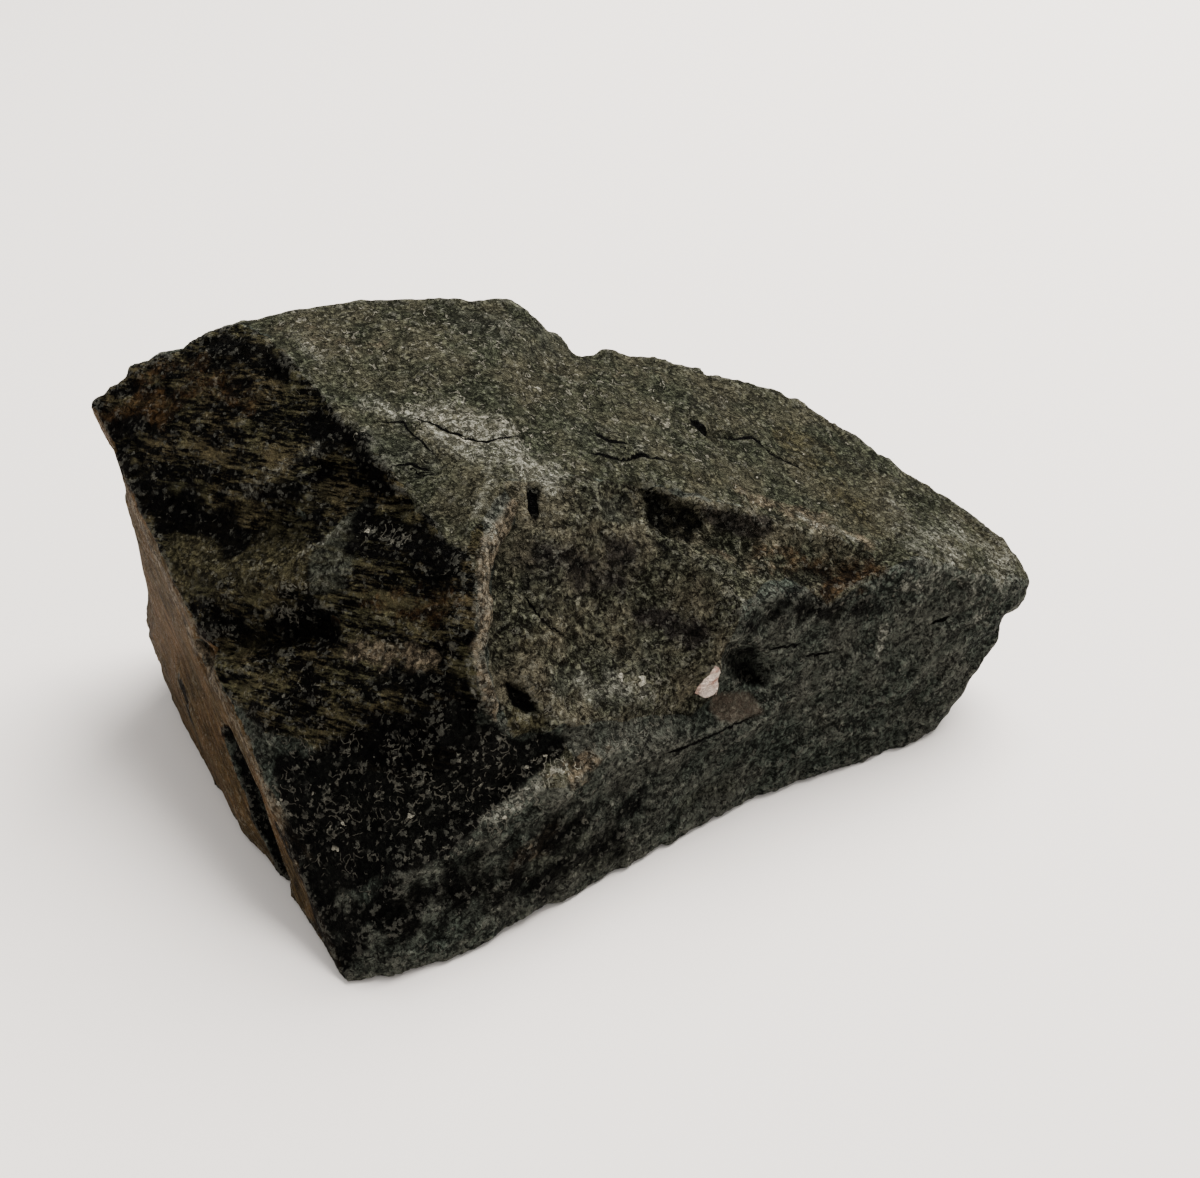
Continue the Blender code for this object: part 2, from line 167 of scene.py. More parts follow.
MARKINGS: dict[Mark, tuple[Patch, ...]] = listed(Patch, {
    Mark.RUST: (
        (((-73.5, 24.5, 52.5), (-68.5, 23.5, 54), (-64.5, 21, 54.5)), 3.5, 0.8),
        (((-69, 28.5, 58), (-62.5, 26.5, 59.5), (-57, 23.5, 61)), 3, 0.5),
        (((-60.5, 22, 57.5), (-55, 20, 59), (-49, 16.5, 59)), 3, 0.55),
        (((-26, -15.5, 44), (-20, -19, 44.5), (-14.5, -20.5, 48)), 3.5, 0.5),
        (((-1.3, -28.6, 23), (1.9, -26.1, 23.1), (6.2, -22.6, 23.4)), 1.5, 0.6),
        (((31, 4, 39.5), (36, 4, 37.5), (41, 5.5, 36), (47, 8, 35.5)), 3.2, 0.6),
        (((-70, 16, 19), (-72, 19, 14.5)), 2.5, 0.9),
        (((-40, 38, 40), (-22, 42, 36)), 5, 0.5),
        (((30, 38, 30), (44, 34, 22)), 6, 0.5),
    ),
    Mark.OLIVE: (
        (((-58, 2, 39), (-48, -3, 42), (-39, -6, 45)), 6, 0.8),
        (((-50, -11, 34), (-42, -13, 38.5)), 4, 0.6),
        (((37, 32, 45.5), (40.5, 27, 43.5)), 4, 0.8),
        (((42.5, 20.5, 41.5), (46.5, 17, 39.5)), 3.5, 0.8),
        (((-6, -18.5, 39.5), (-0.5, -13.5, 39.5)), 4, 0.4),
        (((14, 9, 51), (24, 14, 48)), 5, 0.4),
        (((-6, -23, 31), (-4, -22, 30)), 2.5, 0.8),
        (((-10, 44, 30), (10, 45, 24)), 8, 0.5),
    ),
    Mark.TEAL: (
        (((-1, -30.5, 11.5), (2.5, -28.5, 6.5), (5.5, -26, 6)), 4.5),
        (((-14, -38.5, 10.5), (-8.5, -36, 9.5), (-5, -34, 9)), 3.5, 0.7),
        (((19.5, -15, 6.5), (24.5, -11, 5)), 3, 0.6),
        (((-16, 33, 65.5), (-9.5, 32, 64), (-3.5, 34.5, 60)), 6, 0.6),
        (((3.5, 14.5, 55.5), (11, 14, 53)), 6, 0.5),
        (((-0.5, -20.5, 32.5), (5.5, -15.5, 32), (11.5, -12, 31.5)), 4, 0.55),
        (((5.5, -17.5, 30), (11.5, -16, 27)), 3.5, 0.6),
        (((47.5, 2, 13.5), (59, 7.5, 9)), 6, 0.4),
    ),
    Mark.PURPLE: (
        (((-3.5, -10.5, 46.5), (2.5, -8, 43), (8, -4, 44)), 4.5, 0.8),
        (((20, 30, 52), (23, 33, 51.5)), 4, 0.5),
    ),
    Mark.TAN: (
        (((-31.3, -18.5, 37.2), (-27.9, -19.7, 38.5), (-24, -22, 39.2), (-18.6, -24.7, 40)), 2, 0.78),
        (((-70, 14, 41), (-62.5, 3, 35.5), (-54, -9, 27), (-45, -23.5, 21), (-37, -35.5, 13)), 1.6, 0.8),
        (((27.2, 10.5, 46), (33.2, 12, 43.6), (39.7, 12, 40.9), (47.9, 11, 37.1)), 2.6, 0.55),
        (((22.1, 1, 42.2), (26.6, 2.2, 39.7), (30.9, 2.8, 39.4), (34.6, 4.9, 38.4)), 3, 0.45),
        (((5, -24, 23), (2.5, -27.5, 21.5)), 2, 0.8),
        (((-1.5, -30, 13), (-6, -33.5, 11.5)), 2.2, 0.7),
        (((-44, 27.5, 65.5), (-35.5, 23.5, 65), (-29.5, 25.5, 65)), 4, 0.45),
        (((5, 32, 57), (13, 33.5, 54.5)), 5, 0.4),
        (((46, 14, 37.5), (30, 3, 39.5)), 3, 0.35),
    ),
    # Near-black: partly dark rock, partly painted shade under ledges and edges, beside the rib and along the
    # foot of the front wall.
    Mark.DARK_AND_SHADE: (
        (((-73, 23, 51), (-68, 20.5, 51.5)), 2.5, 0.8),
        (((-70, 16.5, 46.5), (-62.5, 11.5, 46.5)), 3, 0.7),
        (((-66.5, 11.5, 44), (-58.5, 8, 43.5), (-50, 2.5, 43.5)), 3.2),
        (((-45.5, 4.5, 50), (-36.5, 0.5, 51)), 3, 0.7),
        (((-36.5, 8.5, 59), (-32, 4.5, 59), (-28.5, 1, 57)), 3, 0.9),
        (((-28.5, -6.5, 50.5), (-22, -10.5, 50.5), (-15.5, -17, 50.5)), 3.6),
        (((-53, -8, 31.5), (-45.5, -9, 35), (-37, -11.5, 38.5), (-32.5, -16, 38)), 2.8),
        (((-24, -25, 37), (-18, -28, 38), (-12.5, -28, 35.5)), 3.5, 0.7),
        (((-55.5, 26, 63.5), (-47, 21.5, 63.5), (-43, 17, 63)), 2.6, 0.8),
        (((-38, -37, 11), (-31, -42, 6), (-24, -42, 9)), 7, 0.95),
        (((-25, -41, 9), (-8, -35, 9), (8, -24, 9)), 9, 0.66),
        (((-47, 3.9, 48.7), (-41, 2.6, 51.8), (-35.2, 3, 54.2)), 1, 0.8),
        (((-5, -2.5, 54.5), (-4.5, -4.5, 51)), 1),
        (((26.1, -6.9, 36), (32.5, -2.7, 35), (41, 1, 31.5), (49.5, 6, 31.5)), 3, 0.62),
        (((9.5, -7.5, 37.5), (14, -7, 36), (19, -8.5, 34)), 3.2, 0.46),
        (((53, 8, 33), (59, 11, 31), (64, 13, 28), (70, 14.5, 24)), 2.4, 0.5),
        (((-5, -12, 46), (-1, -10, 45), (3, -8, 43.5)), 5.5, 0.53),
        (((4, -3, 48), (11, -1, 45), (18, -1, 42)), 3.5, 0.46),
        (((-50.8, -13.4, 17.2), (-49.4, -16, 14.4), (-46.6, -20.8, 10.7), (-44.3, -24, 5.5),
          (-42.3, -26.3, 1.6)), 1.9),
        (((-62.5, 2, 16.5), (-61, -1, 14), (-60, -2.5, 8.5)), 0.7),
        (((-52, 36, 50), (-30, 42, 46), (-12, 44, 42)), 4.5, 0.62),
        (((-20, 45, 14), (8, 45, 10), (34, 38, 8)), 6, 0.58),
    ),
    # Pale powder, partly a painted sheen on the top's broad bright patch and on the right end.
    Mark.POWDER_AND_SHEEN: (
        (((-20, 7.8, 60.2), (-15.5, 5, 59), (-10.5, 3, 57.8), (-5, 1.8, 56.6)), 4.4, 0.95),
        (((-14, 10, 59.5), (-8, 7, 58)), 3.5, 0.5),
        (((4, -18, 31), (8, -16, 30.5), (11.3, -15.2, 28.3)), 3.2, 0.5),
        (((24.5, -7.5, 35), (26.5, -5.5, 37.8)), 0.5, 0.9),
        (((-30, 11.5, 61.3), (-24, 9, 60.5)), 2, 0.62),
        (((-42, 25.5, 65.5), (-38, 19.5, 64.5)), 2, 0.5),
        (((-10.6, -34.3, 19.4), (-7.1, -32.5, 20.2), (-4.4, -30.7, 21.1), (-2.3, -29.4, 22.6),
          (0.4, -27.3, 23.4)), 1.3, 0.7),
        (((36.5, 11.5, 42.2), (38.9, 10.8, 41.1), (42.2, 11.5, 39.9), (44.9, 10.7, 38.7)), 0.6, 0.8),
        (((60.5, 16.5, 34), (70, 18.5, 30)), 9, 0.58),
        (((-48.7, 5, 48.9), (-42.9, 5.6, 53), (-36.5, 6.3, 57.1)), 1.2, 0.5),
        (((-38.2, -6.5, 45.9), (-35.2, -6.3, 47.7), (-32.4, -5.8, 49.5)), 0.7, 0.75),
        (((-12.1, -9.3, 55.2), (-12.1, -7, 56.3), (-11.1, -4.1, 56.7), (-9.4, -2.4, 56.9),
          (-7.7, -2, 56.5)), 0.6, 0.65),
        (((-10.4, -9.9, 54.2), (-10, -10.5, 53), (-10.6, -11.8, 53)), 0.8, 0.85),
        (((-12.9, -25.5, 41), (-12.6, -26.7, 38.8), (-12.2, -27.8, 36.2)), 0.6, 0.8),
        (((50.5, 5.5, 25.5), (50, 5, 23.5), (49.5, 4.5, 20.5)), 0.9, 0.9),
    ),
    Mark.FLECKS: (
        (((-39.5, -10.5, 39.5), (-37.5, -10.5, 42.5)), 2.5),
        (((-28, -8, 50), (-24, -9.5, 50)), 2),
        (((-40, -24, 26.5), (-33, -26, 27.5), (-28.5, -27.5, 29)), 2, 0.8),
        (((-31, -16.5, 38), (-25, -21, 39.5), (-18, -22.5, 41.5)), 3, 0.6),
        (((-46, -16, 30), (-37.5, -20.5, 32), (-31.5, -23, 34)), 4, 0.4),
        (((-3, -22.5, 32), (-0.5, -22, 30.5)), 1.8),
        (((8.5, -15, 30), (12, -13, 30), (13.5, -15.5, 24)), 3, 0.9),
        (((-10, -34.5, 19.5), (-4.5, -30.5, 21.5), (2.5, -26.5, 22.5)), 3.5, 0.9),
        (((3.5, -24, 24), (10, -20, 23), (14.5, -17.5, 21.5)), 2.2, 0.8),
        (((-35.5, -36.5, 13), (-29, -39.5, 14.5), (-21.5, -42, 18)), 3.5, 0.7),
        (((-40, -29, 16.5), (-30, -32, 21), (-18, -34, 25), (-8.5, -31, 22.5)), 7, 0.7),
        (((25, -6.5, 37.5), (26.5, -6, 37.5), (28, -4, 37.5)), 1),
        (((25, -6, 27), (25.5, -7, 30), (26.5, -7.5, 31.5)), 1, 0.8),
        (((-21, 9.5, 60.5), (-10, 5.5, 58.5), (-4.5, 4.5, 56.5)), 6, 0.8),
        (((-35, 25, 65), (-10, 25, 60), (10, 20, 54)), 14, 0.5),
    ),
})

SPOTS: dict[Mark, tuple[Spot, ...]] = listed(Spot, {
    # Near-black spots: painted shade in the cut-in hollows, and the dark band above the front foot, partly dark
    # rock and partly painted shade.
    Mark.DARK_AND_SHADE: (
        (((10, 5.2, 51.1), (14.7, 5.8, 50), (19.2, 5.9, 47.4), (21.4, 5.2, 45), (19.2, 1.1, 43.4),
          (15.3, 0.7, 45), (12.6, 2.3, 46.7), (11.5, 4.2, 49)), 1.6, 0.6, 0.7),
        (((33.7, 2.9, 37.5), (40.7, 7.1, 37.2), (47.5, 8.6, 35.4), (49.4, 7.8, 34.8), (44.1, 3.6, 34.2),
          (40.3, 0.6, 33.2), (36.8, 0.4, 35.5)), 2.2, 0.52, 0.4),
        (((23.7, -9.7, 29.2), (26.4, -6.3, 30.2), (29.8, -5.2, 29.1), (31.4, -4.2, 24.3), (33, -4.9, 20.7),
          (29.6, -6, 21.9), (26.7, -7.7, 23.6), (24.7, -8.3, 25.6)), 2, 0.62, 0.5),
        (((-8.1, -22.9, 35.9), (-4.9, -22.8, 33.7), (-2.9, -24, 31.1), (-5, -24.8, 31.4),
          (-7, -24.8, 32.8)), 0.9, 0.75, 0.5),
        (((-40.9, -25.3, 24.2), (-34, -26.5, 27.2), (-26.4, -27.8, 31.8), (-20.2, -28.5, 35),
          (-13.9, -28.1, 36.1), (-9.5, -27.7, 32.1), (-7.2, -27.9, 29.5), (-1.4, -25.1, 28.8), (0.9, -24, 26.4),
          (-0.5, -27.1, 23.9), (-4.8, -30.3, 22), (-10.6, -34, 19.8), (-16.2, -38.5, 16.8),
          (-22.3, -41.3, 16.3), (-30.6, -38.8, 11.2), (-36.3, -34.9, 12.1), (-39.5, -30.2, 18.1)), 2.6, 0.86),
    ),
    Mark.PURPLE: (
        (((19.2, 5.9, 47.4), (24.5, 6.7, 45.9), (31.4, 9.1, 43.8), (31.7, 7.1, 41.6), (28.6, 6, 40.8),
          (23.1, 4.9, 43.5), (21.4, 5.2, 45)), 1.8, 0.9, 0.4),
        (((8.5, -8.2, 37.8), (14.8, -6, 37.5), (19.7, -6.7, 36.2), (22.3, -8.7, 33.1), (19.8, -10.7, 30.6),
          (16.8, -10, 32.5), (11.7, -9.7, 34.4)), 3, 0.85),
    ),
    Mark.RUST: (
        (((40.3, 3.8, 35.5), (47.5, 8.2, 35.3), (49.3, 7.6, 34.7), (44.1, 3.6, 34.2), (40.5, 0.7, 33.1),
          (38.8, 0.9, 34.9)), 1, 0.85),
    ),
    Mark.OLIVE: (
        (((-7, -24.8, 32.8), (-5, -24.8, 31.4), (-2.9, -24, 31.1), (-2.1, -25.2, 29.4), (-6.6, -27.6, 29.3),
          (-7.9, -27.4, 30.9)), 0.8, 0.9),
    ),
    Mark.TAN: (
        (((-8.4, -5.1, 55.2), (-6.4, -4.5, 54.3), (-7.8, -8.1, 51.5), (-9.7, -12.5, 49.2), (-10.5, -16.1, 46.6),
          (-10.2, -18.7, 43.3), (-10.7, -23.6, 41.6), (-10.1, -25.2, 39.1), (-9.1, -26.1, 34.9),
          (-8.3, -27.6, 31.1), (-9.9, -27.8, 32.3), (-11.4, -28, 35.5), (-12.8, -27, 38.2),
          (-13.1, -25.4, 41.3), (-12.3, -23.2, 44.7), (-13, -20, 47.5), (-12.8, -16.6, 50.2),
          (-11.7, -12.4, 53.3), (-9.8, -8.9, 54.5)), 1.2, 0.68, -0.7),
    ),
    Mark.TEAL: (
        (((-37.7, -7.5, 45.5), (-32.5, -4.3, 50.5), (-28.9, -2.3, 52.7), (-29, -8.7, 49), (-30.5, -13.3, 44.3),
          (-35.8, -12.7, 41.7)), 2, 0.75),
        (((-31.1, 6.2, 60.1), (-24.2, 7.7, 60), (-18, 1, 57.8), (-17.9, -2.1, 56.8), (-23.1, -2.4, 56.6),
          (-28.2, 0.7, 57.3)), 1, 0.55),
        (((4.6, 0.4, 52.4), (10.6, 4.7, 50.3), (11.1, 1.6, 47.3), (4.8, -2.5, 49.4)), 0.8, 0.6),
    ),
})

SCOOP_OUTLINE: Path = (
    (-9.3, -3.2, 56.5), (-3.7, -0.6, 55.7), (3.5, 3.6, 54.1), (10, 5.2, 51.1), (20.3, 7, 47.8),
    (31.5, 9.5, 43.9), (41.2, 9.7, 39.9), (50.2, 9.6, 35.6), (48.8, 6.6, 34.3), (40.3, 0.6, 33.2),
    (33.7, 2.5, 37.2), (29.4, -2.3, 38), (26.6, -5.7, 37.8), (25.9, -7.8, 34.1), (23.7, -9.7, 29.2),
    (22.5, -10, 22.5), (19, -13, 21.9), (11.3, -17.3, 25.1), (5.4, -21, 26.9), (-0.3, -24.6, 28.3),
    (-6.9, -27.8, 29.4), (-8.7, -25.4, 34.3), (-10.1, -25, 39.3), (-10.2, -18.7, 43.3), (-10.1, -14.3, 47),
    (-9.1, -10.8, 49.8), (-7.5, -7, 52.5),
)
CHIP_OUTLINE: Path = (
    (22.7, -10.2, 29.4), (22, -10.9, 28.9), (20.9, -11.2, 26.7), (20, -11.5, 24.6), (21.7, -10.9, 23.4),
    (23.5, -9.3, 22.7), (23.6, -9.2, 24.9), (23.5, -10, 28),
)
FACET_OUTLINE: Path = (
    (22.6, -9.8, 23.1), (24.1, -9.1, 22.9), (26.2, -8, 22.3), (28.6, -7, 21.7), (29.9, -7.2, 19.7),
    (31.1, -7.4, 17.9), (28.4, -9.1, 18.2), (25.9, -10.9, 18.7), (24.1, -11.6, 19.5), (22.6, -10.8, 20.7),
)
TOP_FRONT_EDGE: tuple[tuple[float, float], ...] = (
    (-60, 34), (-48, 26), (-43.5, 20), (-40, 15.5), (-36, 11), (-33, 7), (-30, 3), (-26, -1), (-22, -5),
    (-17.5, -10), (-14, -14.5), (-11, -10), (-8.5, -2.5), (-3, -1), (3.5, 1.5), (10.5, 5.5), (14, 6), (18.5, 7),
    (26, 8), (32, 7.5), (38, 8), (46, 7), (50.5, 7.5), (56.5, 10), (63.5, 14), (71, 16), (80, 20),
)

CRACKS: tuple[Crack, ...] = tuple(Crack(*row) for row in (
    (((19.4, 26.1, 51.9), (20.5, 24.8, 51.3), (21.8, 23.9, 50.5), (23.2, 23.3, 49.8)), 0.9),
    (((22.4, 23.7, 50.2), (27, 25.5, 48.5), (30, 27.5, 47.5), (33, 25.5, 46), (37, 24, 44.5),
      (40, 22.5, 43)), 0.42),
    (((3.7, 14.8, 55.7), (4.6, 13.7, 55.3), (6, 13, 54.7), (8, 13.6, 54), (9.9, 14.4, 53.4)), 0.5),
    (((1.9, 9.5, 55.5), (5, 8.8, 54.6), (8.3, 9.4, 53.4), (11.1, 11.7, 52.8), (13.4, 12.3, 52.4),
      (15.4, 12.4, 51.8), (17.3, 12.2, 51.3)), 0.5),
    (((-24, 9, 60.5), (-19, 7.5, 59.5), (-15, 5.5, 59), (-11.5, 5, 58.5), (-5.5, 8.5, 58)), 0.3),
    (((-26, -1, 56.5), (-22.5, 0, 57.5), (-19, -1, 57)), 0.4),
    (((59, 9.5, 23), (61, 10, 23.5), (62.5, 11, 24)), 0.4),
    (((31.6, -7.1, 17.9), (29, -8.7, 17.9), (26.2, -10.9, 18.3), (24.1, -12.4, 18.1), (20.7, -14.7, 18.1),
      (16.5, -17.3, 18), (11, -20.7, 16.9)), 0.32),
    (((-30, 7.5, 60.1), (-24.3, 7.7, 60.1), (-23.4, 6.3, 59.6), (-20.8, 3.6, 58.6), (-18.2, 1, 57.8)), 0.22),
    (((-22.4, -2.3, 56.6), (-20.3, -1.6, 56.8), (-18.3, -1.3, 57)), 0.25),
    (((31.1, -4.9, 28.3), (33.8, -3.8, 27.9), (37.2, -1.5, 26.7)), 0.4),
    (((37.3, -2, 24.9), (40.3, -0.4, 23.9), (42.7, 1.2, 23.7)), 0.5),
    (((-6.2, -13.6, 44.9), (-4.6, -14.5, 43), (-3, -15.2, 41.2), (-1.6, -15.1, 39.7), (-0.2, -15, 38.2),
      (1.7, -14.2, 36.6)), 0.3),
    (((-5, -2, 55), (-4.8, -3.3, 53.7), (-4.6, -5.5, 52)), 0.9),
))

FOLIATION = Vector((-0.30, -0.30, 0.91)).normalized()
BROWN_FACING = Vector((-0.43, -0.64, 0.63)).normalized()
BROWN_RUN = Vector((0.88, -0.45, 0.14)).normalized()
JOINT_FACING = Vector((-0.84, -0.54, 0.0)).normalized()
JOINT_RUN = Vector((0.47, -0.73, -0.49)).normalized()

JOINT_TURN, JOINT_LEFT = Ramp(0.86, 0.08), Ramp(20.0, 4.0)
BROWN_TURN, BROWN_LEFT, BROWN_HEIGHT = Ramp(0.62, 0.2), Ramp(9.0, 3.0), Ramp(24.0, 5.0)
TOP_TURN = Ramp(0.42, 0.12)
TOP_FADE, SCOOP_FADE = 0.8, 1.2
TOP_BORDER = (Lumps(0.9, 3.5, 9), Lumps(0.6, 1.3, 10))
SCOOP_BORDER = (Lumps(0.8, 2.4, 12),)
MARK_BORDER = (Lumps(1.0, 4.5, 11), Lumps(0.5, 1.8, 21))

SWELL = (Lumps(0.20, 7.0, 1), Lumps(0.16, 3.2, 2))
PLATE_WANDER = (Lumps(1.3, 6.0, 3), Lumps(0.5, 2.0, 4))
PLATE_BREAKS = (Lumps(1.2, (5.0, 5.0, 2.5), 5),)
BROWN_STREAKS = (Lumps(1.0, (3.2, 3.2, 0.9), 6),)
CRUMBS = (Lumps(0.12, 1.5, 7), Lumps(0.09, 0.8, 8))
LEDGE_HEIGHT, BROWN_LEDGE_HEIGHT, STREAK_HEIGHT = 0.10, 0.50, 0.20
SMALL_FLAKE, BROAD_FLAKE = 2.6, 4.6
FLAKE_SHARE, BROWN_FLAKE_SHARE = 0.7, 0.4
SHARPENING, SHARPEN_IN, SHARPEN_OUT = 1.1, -0.35, 0.45
JOINT_CALM = 0.8

PATH_FADE, PATH_DRIFT, OUTLINE_DRIFT = 1.9, 0.7, 0.4
FINE_BULGE, BROAD_BULGE, FINE_SHARE = 0.16, 0.8, 0.6


def smooth_step(values: Array) -> Array:
    """Ease values from 0 to 1, flat at both ends."""
    held = np.clip(values, 0.0, 1.0)
    return held * held * (3.0 - 2.0 * held)


def lattice_noise(points: Array, seed: int) -> Array:
    """Smooth random values whose lumps are about one unit across.

    Args:
        points: One row of coordinates for each value.
        seed: Picks one of many such fields.

    Returns:
        One value between -1 and 1 for each point.
    """
    cell = np.floor(points).astype(np.int64)
    inside = points - cell
    ease = inside * inside * (3.0 - 2.0 * inside)
    total = np.zeros(len(points))
    for corner in itertools.product((0, 1), repeat=3):
        key = cell + np.array(corner)
        mixed = key[:, 0] * 73856093 ^ key[:, 1] * 19349663 ^ key[:, 2] * 83492791 ^ seed * 2654435
        mixed = (mixed ^ (mixed >> 13)) * 1274126177 & 0xFFFFFFFF
        mixed = (mixed ^ (mixed >> 16)) & 0xFFFF
        weight = np.prod(np.where(np.array(corner) == 1, ease, 1.0 - ease), axis=1)
        total += weight * (mixed / 32767.5 - 1.0)
    return total


def lumps_at(places: Array, fields: tuple[Lumps, ...], shift: int = 0) -> Array:
    """Summed height of random lumps at each place, with the fields' seeds shifted."""
    return sum(lumps.height * lattice_noise(places / np.array(lumps.width), lumps.seed + shift)
               for lumps in fields)


def drift_at(places: Array, fields: tuple[Lumps, ...]) -> Array:
    """Random offset of each place, every axis from fields of its own."""
    return np.stack([lumps_at(places, fields, axis) for axis in range(3)], axis=1)


def to_segment(points: Array, start: Array, end: Array) -> tuple[Array, ...]:
    """How points lie to a straight segment.

    Args:
        points: Places to measure from.
        start: First end of the segment.
        end: Its other end.

    Returns:
        Offset from the start, share of the way along and distance to the segment, for each point.
    """
    run = end - start
    offset = points - start
    share = np.clip(offset @ run / (run @ run), 0.0, 1.0)
    return offset, share, np.linalg.norm(offset - share[:, None] * run, axis=1)


def path_distance(points: Array, path: Path) -> Array:
    """Distance from each point to the nearest stretch of a path."""
    corners = np.array(path, dtype=float)
    return np.min([to_segment(points, *ends)[2] for ends in zip(corners[:-1], corners[1:])], axis=0)


def plan_distance(points: Array, line: tuple[tuple[float, float], ...]) -> Array:
    """Distance in plan to an open line, positive on the side to the left of its run."""
    corners = np.array(line, dtype=float)
    best = np.full(len(points), np.inf)
    side = np.zeros(len(points))
    for start, end in zip(corners[:-1], corners[1:]):
        run = end - start
        offset, _, gap = to_segment(points[:, :2], start, end)
        turn = run[0] * offset[:, 1] - run[1] * offset[:, 0]
        side = np.where(gap < best, np.sign(turn), side)
        best = np.minimum(gap, best)
    return best * side


def outline_distance(points: Array, outline: Path) -> Array:
    """Distance to a closed outline seen square on, positive inside it.

    Args:
        points: Places to measure from.
        outline: Corners of the spot.

    Returns:
        One distance for each point, with far ones held at -4.
    """
    far, layer = -4.0, 14.0
    solid = np.array(outline, dtype=float)
    facing = np.cross(solid, np.roll(solid, -1, axis=0)).sum(axis=0)
    facing /= np.linalg.norm(facing)
    right = np.cross((0.0, 0.0, 1.0), facing)
    right /= np.linalg.norm(right)
    plane = np.stack([right, np.cross(facing, right)], axis=1)
    corners, flat = solid @ plane, points @ plane
    best = np.full(len(points), np.inf)
    inside = np.zeros(len(points), dtype=bool)
    for start, end in zip(corners, np.roll(corners, -1, axis=0)):
        run = end - start
        best = np.minimum(best, to_segment(flat, start, end)[2])
        spans = (start[1] > flat[:, 1]) != (end[1] > flat[:, 1])
        crossing = start[0] + (flat[:, 1] - start[1]) * run[0] / (run[1] if run[1] else 1e-9)
        inside ^= spans & (flat[:, 0] < crossing)
    near = np.abs((points - solid.mean(axis=0)) @ facing) < layer
    return np.where(near, np.maximum(np.where(inside, best, -best), far), far)


def add_object(name: str, data: bpy.types.ID) -> Object:
    """Make an object and link it into the scene."""
    thing = bpy.data.objects.new(name, data)
    bpy.context.scene.collection.objects.link(thing)
    return thing


